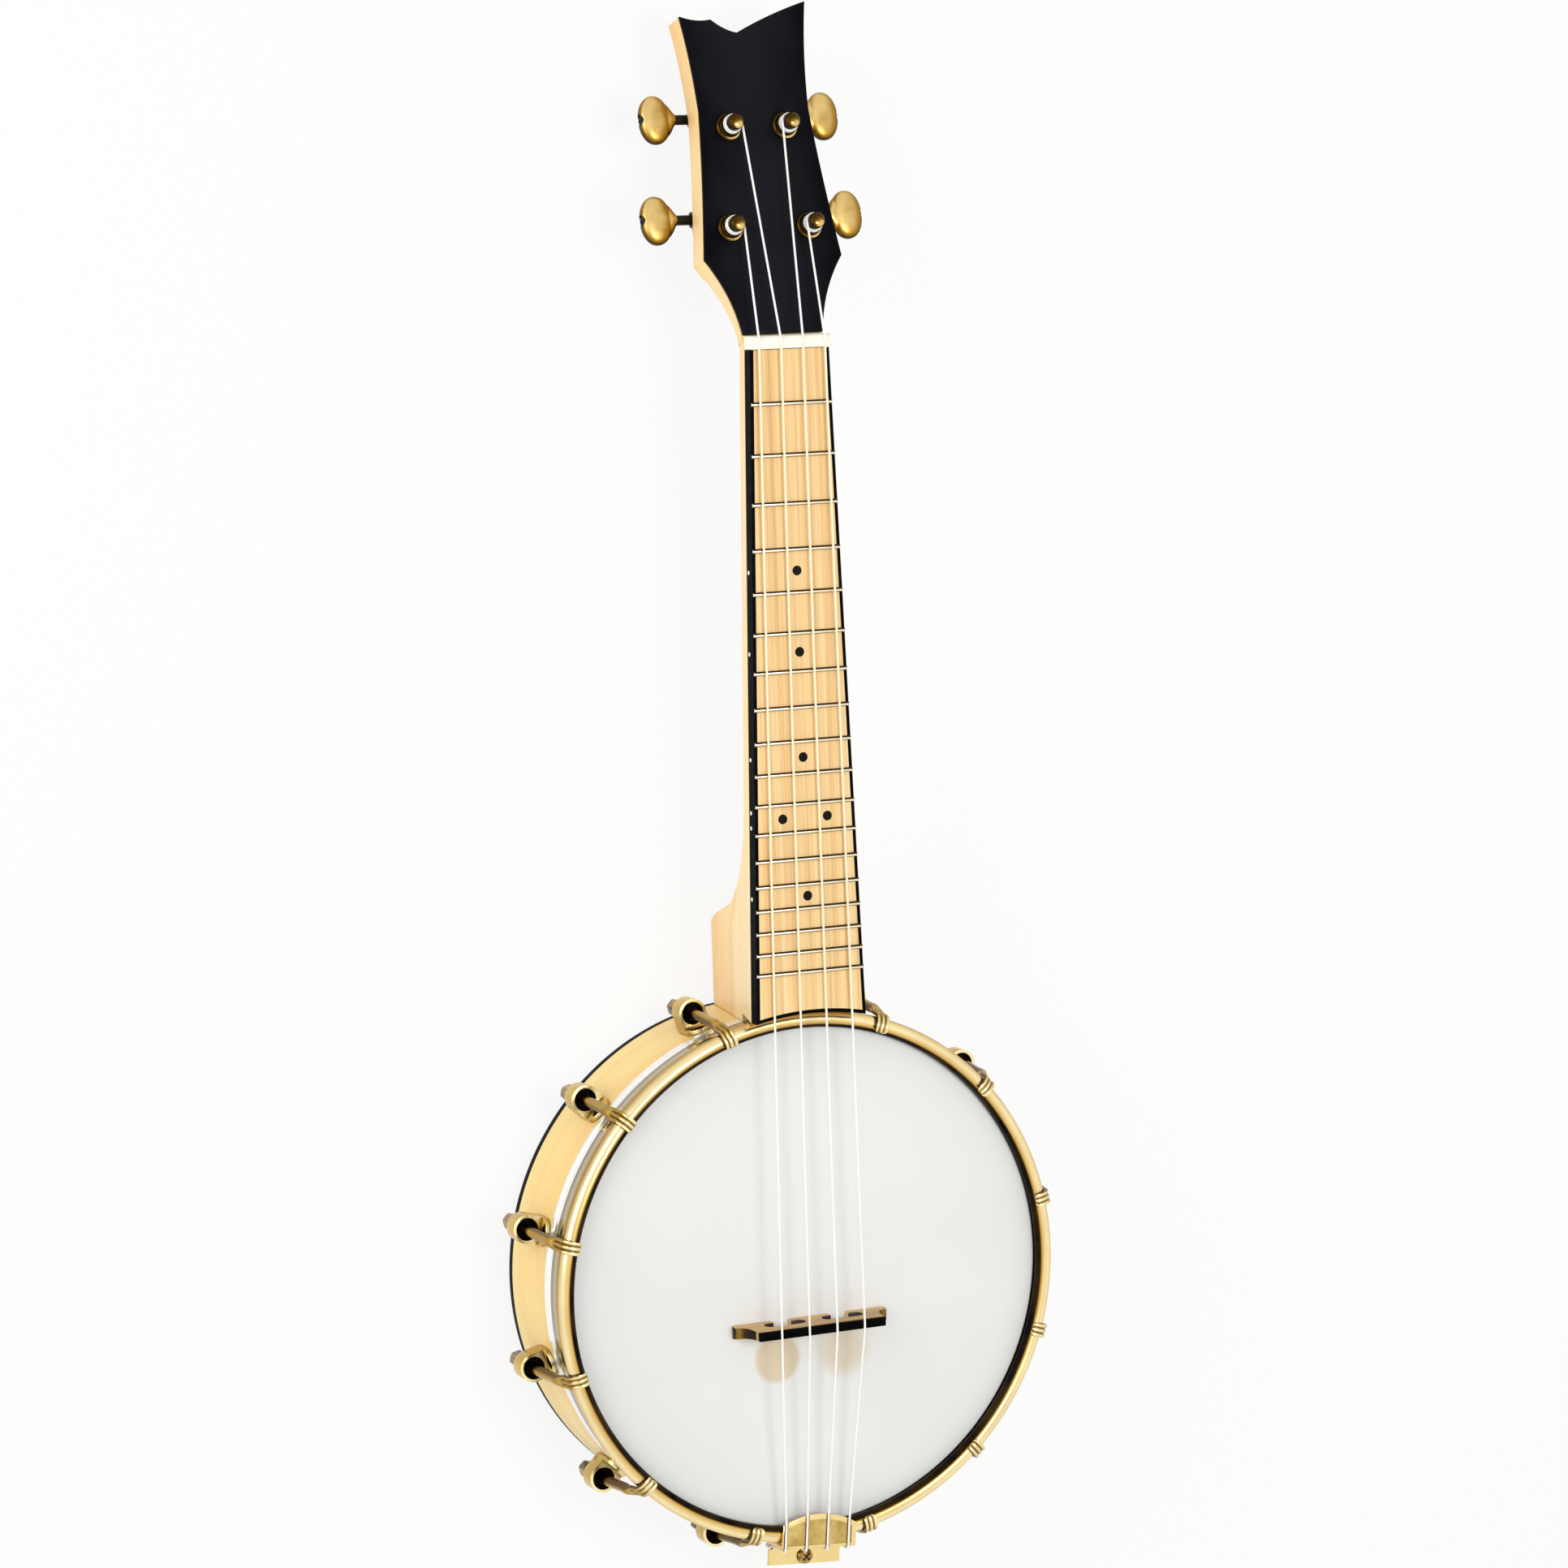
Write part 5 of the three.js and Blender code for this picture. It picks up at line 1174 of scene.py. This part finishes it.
# the button's shoulder, drawn in from its flat oval to the round of its shaft
# how far each ring is from the button's middle, and half its size each way
shoulder = ((3, 7.7, 2.6), (4.2, 7.3, 2.7), (5.3, 6.6, 2.75), (6.3, 5.5, 2.75), (7.1, 4.2, 2.7),
            (7.7, 3.1, 2.6), (8.2, 2.5, 2.5))


def modelButtonNeck():
    rings = []
    for out, halfY, halfZ in shoulder:
        rings.append([local(tuner["reach"] - out, tuner["wormY"] + halfY * y, tuner["wormZ"] + halfZ * z)
                      for y, z in arcPoints((0, 0), 1, 0, 360, 48)[:-1]])
    return skinned("shoulder", rings)


def modelButton():
    deselect()
    bpy.ops.mesh.primitive_uv_sphere_add(segments=64, ring_count=32, radius=1)
    knob = bpy.context.object
    knob.name = "button"
    oval, flatness = button["oval"], button["flat"]
    for vertex in knob.data.vertices:
        x, y, z = vertex.co
        level = (abs(x) ** oval + abs(y) ** oval) ** (1 / oval)
        reach = (level ** flatness + abs(z) ** flatness) ** (-1 / flatness)
        vertex.co = local(tuner["reach"] + x * reach * button["width"] / 2,
                          tuner["wormY"] + y * reach * button["length"] / 2,
                          tuner["wormZ"] + z * reach * button["thickness"] / 2)
    recess = onWorm("recess", button["recess"], buttonEnd - button["recessDepth"], buttonEnd + past)
    bevelEdges(combine(knob, recess, "DIFFERENCE"), 0.15, 2, 50)
    return combine(knob, modelButtonNeck(), "UNION")


def modelShaft():
    axisY, axisZ = tuner["wormY"], tuner["wormZ"]
    stem = onWorm("shaft", tuner["shaft"], tuner["bossEnd"] - tuner["shaftIn"],
                  tuner["reach"] - button["width"] / 2 + 0.4)
    screw = onWorm("screw", button["screw"], buttonEnd - button["screwLow"], buttonEnd - button["screwHigh"])
    bevelEdges(screw, 0.25, 2)
    for halfY, halfZ in (button["cross"], button["cross"][::-1]):
        combine(screw, brick("cross", local(buttonEnd - 1, axisY - halfY, axisZ - halfZ),
                             local(buttonEnd + 1, axisY + halfY, axisZ + halfZ)), "DIFFERENCE")
    return joinPieces(stem, screw)


def placeOnHead(model, name, x, y):
    piece = copied(model, name)
    side = 1 if x > 0 else -1
    piece.matrix_world = headFrame @ Matrix.Translation(local(x, y, 0)) @ Matrix.Diagonal((side, 1, 1, 1))
    settle(piece)
    if side < 0:
        cleanMesh(piece)
    return piece


models = {"body": modelTunerBody(), "post": modelPost(), "button": modelButton(), "shaft": modelShaft()}
for index, (x, y) in enumerate(posts):
    number = str(index + 1)
    finishPiece(placeOnHead(models["body"], "tuner_" + number, x, y), collarBrass, "instrument",
                ["tuner_body_" + number])
    finishPiece(placeOnHead(models["post"], "post_" + number, x, y), collarBrass, "post_" + number,
                ["tuner_post_" + number], 40)
    finishPiece(placeOnHead(models["button"], "button_" + number, x, y), buttonGold,
                "button_" + number, ["tuner_button_" + number], 50)
    finishPiece(placeOnHead(models["shaft"], "shaft_" + number, x, y), blackSteel,
                "button_" + number, ["tuner_button_" + number])
for model in models.values():
    bpy.data.objects.remove(model)
print("machine heads are made")

# bridge
bridge = {"y": -18.9, "base": 60.4, "height": 15.1, "halfBase": 33.2, "halfTop": 27.5, "deep": 5.4,
          "topDeep": 3.5, "cap": 1.9, "foot": 3.2, "middleFoot": 8.8, "footGap": 7.5, "arch": 17.5,
          "archFloor": 3, "archHeight": 5}
bodyHeight = bridge["height"] - bridge["cap"] - glue


def bridgeOutline():
    half, top, foot = bridge["halfBase"], bridge["halfTop"], bridge["foot"]
    lift = bridge["archHeight"] / 2
    points = [(-half, 0)]
    for side in (-1, 1):
        inner, outer = bridge["middleFoot"], bridge["middleFoot"] + bridge["footGap"]
        near, far = (outer, inner) if side < 0 else (inner, outer)
        middle = side * (inner + bridge["footGap"] / 2)
        reach = bridge["arch"] / 2 - lift
        points += [(side * near, 0), (side * near, bridge["archFloor"])]
        points += arcPoints((middle - reach, bridge["archFloor"] + lift), lift, 270, 90, 12)
        points += arcPoints((middle + reach, bridge["archFloor"] + lift), lift, 90, -90, 12)
        points += [(side * far, bridge["archFloor"]), (side * far, 0)]
    points += [(half, 0), (half, foot)]
    for side in (1, -1):
        sweep = ((side * half, foot), (side * top, foot), (side * top, bodyHeight))
        wing = [curvePoint(*sweep, step / 10) for step in range(1, 10)]
        if side > 0:
            points += wing + [(top, bodyHeight), (-top, bodyHeight)]
        else:
            points += wing[::-1] + [(-half, foot)]
    return points


bridgeFront = [spot(x, bridge["y"] - bridge["deep"] / 2, bridge["base"] + z) for x, z in bridgeOutline()]
bridgeBody = slab("bridge", bridgeFront, (0, bridge["deep"] * mm, 0))
middle = spot(0, bridge["y"], 0).y
for vertex in bridgeBody.data.vertices:
    share = (vertex.co.z / mm - bridge["base"]) / bridge["height"]
    narrow = 1 + (bridge["topDeep"] / bridge["deep"] - 1) * share
    vertex.co.y = middle + (vertex.co.y - middle) * narrow
bevelEdges(bridgeBody, 0.3, 2, 40)
finishPiece(bridgeBody, bridgeMaple, "instrument", ["bridge_body"])
bridgeBody.data.materials.append(bridgeShade)
bridgeBody.data.materials.append(bridgeWingShade)
archMiddle = bridge["middleFoot"] + bridge["footGap"] / 2
# the arches' insides take the painted arch shade, and the wings the painted wing shade
for face in bridgeBody.data.polygons:
    across = abs(face.center.x - pot.x) / mm
    height = face.center.z / mm - bridge["base"]
    inArch = abs(across - archMiddle) < bridge["footGap"] / 2 + 6 and 2.9 < height < 8.2
    if inArch and abs(face.normal.y) < 0.5:
        face.material_index = 1
    if across > bridge["halfTop"] + 0.1 and abs(face.normal.y) < 0.3 and face.normal.z > -0.5:
        face.material_index = 2

bridgeTop = bridge["base"] + bridge["height"]
bridgeString = bridgeTop + 0.1
capLow, capHigh = bridge["y"] - bridge["topDeep"] / 2, bridge["y"] + bridge["topDeep"] / 2
cap = brick("bridge_cap", spot(-bridge["halfTop"], capLow, bridgeTop - bridge["cap"]),
            spot(bridge["halfTop"], capHigh, bridgeTop))
bevelEdges(cap, 0.3, 3)
for index in range(4):
    x = stringX(index, spacing["bridge"])
    combine(cap, rod("groove", stringGauge + 0.12, spot(x, bridge["y"] - past, bridgeString),
                     spot(x, bridge["y"] + past, bridgeString), 24), "DIFFERENCE")
finishPiece(cap, blackCap, "instrument", ["bridge_cap"])
print("bridge is made")

# tailpiece, its screw and its bracket
tail = {"turn": 4.5, "shift": 2.4, "half": 16, "length": 14.2, "arch": 4.2, "sheet": 1.5, "wall": 14,
        "flange": 9.4, "flangeHalf": 15.6, "screw": 6.2, "groove": 1.7, "grooveDepth": 0.5, "slot": 2,
        "slotLength": 2.6, "panel": 0.25, "panelEdge": 1.9, "bend": 1.1}
hoopOuter = hoop["bead"][0] + hoop["beadRadius"]
hoopTop = hoop["bead"][1] + hoop["beadRadius"]
plateLow = hoopTop + seat
plateTop = plateLow + tail["sheet"]
wallInner = hoopOuter + 0.6
wallOuter = wallInner + tail["sheet"]
flangeTop = plateTop - tail["wall"]
flangeLow = flangeTop - tail["sheet"]
flangeEnd = wallOuter + tail["flange"]
frontY = wallOuter - tail["length"]
screwAt = wallOuter + tail["screw"]
slotAt = wallOuter + tail["slotLength"] / 2 + seat
tailFrame = (Matrix.Translation(spot(-tail["shift"], -screwAt, 0))
             @ Matrix.Rotation(math.radians(-tail["turn"]), 4, "Z"))


def tailSpot(x, distance, z):
    return tailFrame @ (Vector((x, screwAt - distance, z)) * mm)


# the plate's plan, down to a distance behind it
def plateOutline(inset, back, height):
    half = tail["half"] - inset
    side, peak = frontY + tail["arch"] + inset * 0.6, frontY - tail["arch"] + inset * 1.6
    arch = ((half, side), (0, peak), (-half, side))
    return [tailSpot(-half, back, height), tailSpot(half, back, height),
            *(tailSpot(*curvePoint(*arch, step / 24), height) for step in range(25))]


def tailBlock(name, low, high):
    corners = ((low[0], low[1]), (high[0], low[1]), (high[0], high[1]), (low[0], high[1]))
    outline = [tailSpot(x, distance, low[2]) for x, distance in corners]
    return slab(name, outline, (0, 0, (high[2] - low[2]) * mm))


# a sheet bent twice, pushed across and cut to the plate's plan; then panels, grooves, slots and the hole
def modelTailpiece():
    front, bend = frontY - tail["arch"] * 2, tail["bend"]
    section = [(front, plateLow), (front, plateTop)]
    section += arcPoints((wallOuter - bend, plateTop - bend), bend, 90, 0, 6)
    section += arcPoints((wallOuter + 0.5, flangeTop + 0.5), 0.5, 180, 270, 4)
    section += [(flangeEnd, flangeTop), (flangeEnd, flangeLow)]
    section += arcPoints((wallInner + bend, flangeLow + bend), bend, 270, 180, 6)
    section += arcPoints((wallInner - 0.4, plateLow - 0.4), 0.4, 0, 90, 4)
    half = tail["half"]
    plate = slab("tailpiece", [tailSpot(-half, distance, z) for distance, z in section],
                 tailSpot(half, 0, 0) - tailSpot(-half, 0, 0))
    plan = plateOutline(0, flangeEnd + 1, flangeLow - 1)
    combine(plate, slab("plan", plan, (0, 0, (plateTop - flangeLow + 2) * mm)), "INTERSECT")
    for side in (-1, 1):
        ends = sorted((side * tail["flangeHalf"], side * (half + 1)))
        combine(plate, tailBlock("corner", (ends[0], wallOuter + 0.6, flangeLow - 1),
                                 (ends[1], flangeEnd + 1, flangeTop + 1)), "DIFFERENCE")
    bevelEdges(plate, 0.25, 2, 50)
    panel = plateOutline(tail["panelEdge"], wallOuter - 1.6, plateTop - tail["panel"])
    combine(plate, slab("panel", panel, (0, 0, 3 * mm)), "DIFFERENCE")
    for index in range(4):
        x = stringX(index, spacing["tail"]) - spacing["tailShift"]
        combine(plate, tailBlock("groove", (x - tail["groove"] / 2, front, plateTop - tail["grooveDepth"]),
                                 (x + tail["groove"] / 2, wallOuter + 3, plateTop + 2)), "DIFFERENCE")
        halfSlot, halfLength = tail["slot"] / 2, tail["slotLength"] / 2
        slot = [tailSpot(x + halfSlot * across, slotAt + halfLength * along, flangeLow - past / 2)
                for across, along in arcPoints((0, 0), 1, 0, 360, 24)[:-1]]
        combine(plate, slab("slot", slot, (0, 0, past * mm)), "DIFFERENCE")
    hole = rod("hole", 2, tailSpot(0, screwAt, flangeLow - past), tailSpot(0, screwAt, flangeTop + past))
    return combine(plate, hole, "DIFFERENCE")


tailpiece = finishPiece(modelTailpiece(), plateBrass, "instrument", ["tailpiece"])
tailpiece.data.materials.append(panelBrass)
for face in tailpiece.data.polygons:
    if abs(face.center.z / mm - (plateTop - tail["panel"])) < 0.05 and face.normal.z > 0.9:
        face.material_index = 1

tailFix = {"radius": 1.7, "head": 3.15, "bracketTop": 40, "sheet": 2, "crossFloor": 0.9,
           "crossTurns": (40, 130)}
headLow = flangeTop + seat
lowNut = tailFix["bracketTop"] - tailFix["sheet"] - seat
screwSection = [(0, lowNut - 5.2), (tailFix["radius"] - 0.4, lowNut - 5.2), (tailFix["radius"], lowNut - 4.8),
                (tailFix["radius"], headLow), (tailFix["head"], headLow), (tailFix["head"], headLow + 0.6),
                (2.7, headLow + 1.3), (1.7, headLow + 1.75), (0, headLow + 1.9)]
tailScrew = spun("tail_screw", screwSection, tailSpot(0, screwAt, 0), 48)
crossMiddle = Matrix.Translation(tailSpot(0, screwAt, headLow + tailFix["crossFloor"]))
for turn in tailFix["crossTurns"]:
    cross = brick("cross", local(-2.1, -0.32, 0), local(2.1, 0.32, 3))
    cross.matrix_world = crossMiddle @ Matrix.Rotation(math.radians(turn), 4, "Z")
    settle(cross)
    combine(tailScrew, cross, "DIFFERENCE")
tailNut = rod("tail_nut", 3.4, tailSpot(0, screwAt, lowNut - 2.6), tailSpot(0, screwAt, lowNut), 6)
bevelEdges(tailNut, 0.3, 2)
finishPiece(joinPieces(tailScrew, tailNut), screwBrass, "instrument", ["tailpiece_screw"])
tailScrew.data.materials.append(blackSteel)
# the cross slot's walls and floor take the black steel as painted shade in the recess
for face in tailScrew.data.polygons:
    height = face.center.z / mm - headLow
    crossWall = 0.5 < height < 1.75 and abs(face.normal.z) < 0.2
    crossFloor = abs(height - tailFix["crossFloor"]) < 0.03 and face.normal.z > 0.9
    if crossWall or crossFloor:
        face.material_index = 1

tailBracket = copyOf("tailpiece_bracket", "tail_bracket")
bevelEdges(tailBracket, 0.4, 3, 40)
finishPiece(tailBracket, brass, "instrument", ["tailpiece_bracket"])
print("tailpiece is made")

# coordinator rod across the inside of the pot, with its nut and bolt
coordinator = {"radius": 4, "thread": 2.45, "bore": 2.8, "tapped": 8.3, "nut": 6.5, "boltHead": 4.5,
               "boltHeadLength": 3.6, "edge": 0.4}
rodLow, rodHigh = (corner.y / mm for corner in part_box("coordinator_rod"))
nutLow, nutHigh = (corner.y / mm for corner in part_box("coordinator_nut"))
boltLow, boltHigh = (corner.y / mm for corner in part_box("tail_bolt"))


def alongRod(name, radius, start, end, sides=48):
    height = rim["boltHeight"] * mm
    return rod(name, radius, Vector((pot.x, start * mm, height)), Vector((pot.x, end * mm, height)), sides)


bar = alongRod("rod", coordinator["radius"], rodLow, nutLow - seat)
bevelEdges(bar, coordinator["edge"])
combine(bar, alongRod("thread", coordinator["thread"], nutLow - 2, rodHigh), "UNION")
tapped = alongRod("tapped", coordinator["bore"], rodLow - past, rodLow + coordinator["tapped"])
combine(bar, tapped, "DIFFERENCE")
finishPiece(bar, rodSteel, "instrument", ["coordinator_rod"])
rodNut = alongRod("rod_nut", coordinator["nut"], nutLow, nutHigh, 6)
bevelEdges(rodNut, coordinator["edge"])
combine(rodNut, alongRod("bore", coordinator["bore"], nutLow - past, nutHigh + past), "DIFFERENCE")
finishPiece(rodNut, rodSteel, "instrument", ["coordinator_nut"])
tailBolt = alongRod("tail_bolt_piece", coordinator["boltHead"], boltLow,
                    boltLow + coordinator["boltHeadLength"], 6)
bevelEdges(tailBolt, coordinator["edge"], 3)
combine(tailBolt, alongRod("shank", coordinator["thread"], boltLow + 2, boltHigh), "UNION")
finishPiece(tailBolt, brass, "instrument", ["tail_bolt"])
print("rod is made")


# strings with their windings on the posts
def tubeAlong(name, points, radius, sides=16):
    rings = []
    side = None
    for index, point in enumerate(points):
        before = points[max(index - 1, 0)]
        after = points[min(index + 1, len(points) - 1)]
        along = ((point - before).normalized() + (after - point).normalized()).normalized()
        if side is None:
            side = Vector((1, 0, 0)).cross(along).normalized()
        side = (side - along * side.dot(along)).normalized()
        up = along.cross(side)
        rings.append([point + (side * across + up * lift) * mm
                      for across, lift in arcPoints((0, 0), radius, 0, 360, sides)[:-1]])
    return skinned(name, rings)


windingPitch = 1.4
knotRadius = 1.15


def stringRoute(index):
    tailX = stringX(index, spacing["tail"]) - spacing["tailShift"]
    lift = stringGauge + seat
    behind = wallOuter + lift
    onPlate = plateTop - tail["grooveDepth"] + lift
    turnIn = lift * math.sqrt(0.5)
    bends = [(slotAt, flangeLow - tail["sheet"]), (slotAt, flangeTop),
             (behind, flangeTop + tail["slotLength"]), (behind, onPlate - lift * 2),
             (wallOuter + turnIn, onPlate - lift + turnIn), (wallOuter - lift, onPlate),
             (frontY + tail["arch"], onPlate)]
    route = [tailSpot(tailX, distance, z) for distance, z in bends]
    bridgeX = stringX(index, spacing["bridge"])
    nutX = stringX(index, spacing["nut"])
    half = bridge["topDeep"] / 2
    offNut = spot(nutX, scale["nutY"] + scale["nutLength"] * 2 / 3, nutString)
    route += [spot(bridgeX, bridge["y"] - half, bridgeString), spot(bridgeX, bridge["y"] + half, bridgeString),
              spot(nutX, scale["nutY"], nutString), offNut]
    x, y = posts[index]
    side = 1 if x < 0 else -1
    start = headFrame.inverted() @ offNut / mm
    winding = tuner["waist"] + seat + stringGauge
    reach = math.hypot(start.x - x, start.y - y)
    tangent = math.atan2(start.y - y, start.x - x) + side * math.acos(winding / reach)
    firstZ = tuner["postTop"] - tuner["capHeight"] - seat - stringGauge - 0.15
    for step in range(91):
        turn = step / 40
        angle = tangent + side * turn * 2 * math.pi
        route.append(headSpot(x + winding * math.cos(angle), y + winding * math.sin(angle),
                              firstZ - turn * windingPitch))
    return route


for index in range(4):
    route = stringRoute(index)
    line = tubeAlong("line_" + str(index + 1), route, stringGauge)
    deselect()
    bpy.ops.mesh.primitive_uv_sphere_add(segments=24, ring_count=12, radius=knotRadius * mm,
                                         location=route[0])
    knot = bpy.context.object
    settle(knot)
    combine(line, knot, "UNION")
    finishPiece(line, nylon, "instrument", ["string_" + str(index + 1)], 60)
print("strings are made")

# stage and light
bpy.ops.mesh.primitive_plane_add(size=12, location=(pot.x, 0, -0.4 * mm))
floor = bpy.context.object
floor.name = "floor"
settle(floor)
floorLook = Finish("floor", roughness=0.9, gloss=0.1)
floorLook.shader.inputs["Base Color"].default_value = (0.9, 0.9, 0.9, 1)
glow = floorLook.add("ShaderNodeEmission", {"Strength": 1}).outputs[0]
glowShare = floorLook.maths("MULTIPLY", floorLook.looking(), 0.86)  # the rest shows the object's shadow
floorMix = floorLook.add("ShaderNodeMixShader", {0: glowShare, 1: floorLook.shader.outputs[0], 2: glow})
floorLook.links.new(floorMix.outputs[0], floorLook.nodes["Material Output"].inputs["Surface"])
floor.data.materials.append(floorLook.material)

# the backdrop shows white, and lights the object with less
world = bpy.data.worlds.new("studio")
bpy.context.scene.world = world
world.use_nodes = True
studio = Wiring(world.node_tree)
sky = studio.nodes["Background"]
sky.inputs["Color"].default_value = flat
sky.inputs["Strength"].default_value = 0.6
backdrop = studio.add("ShaderNodeBackground", {"Color": flat, "Strength": 1}).outputs[0]
skyMix = studio.add("ShaderNodeMixShader", {0: studio.looking(), 1: sky.outputs[0], 2: backdrop})
studio.links.new(skyMix.outputs[0], studio.nodes["World Output"].inputs["Surface"])

lamps = {
    "key": {"place": (0.12, 0.12, 1.75), "size": 0.55, "power": 10},
    "fill": {"place": (-1.4, 0.45, 0.6), "size": 1.2, "power": 8.8},
}
for name, lamp in lamps.items():
    bpy.ops.object.light_add(type="AREA", location=lamp["place"])
    light = bpy.context.object
    light.name = name
    light.data.size = lamp["size"]
    light.data.energy = lamp["power"]
    light.rotation_euler = (-Vector(lamp["place"])).to_track_quat("-Z", "Y").to_euler()
print("stage and lamps are set")
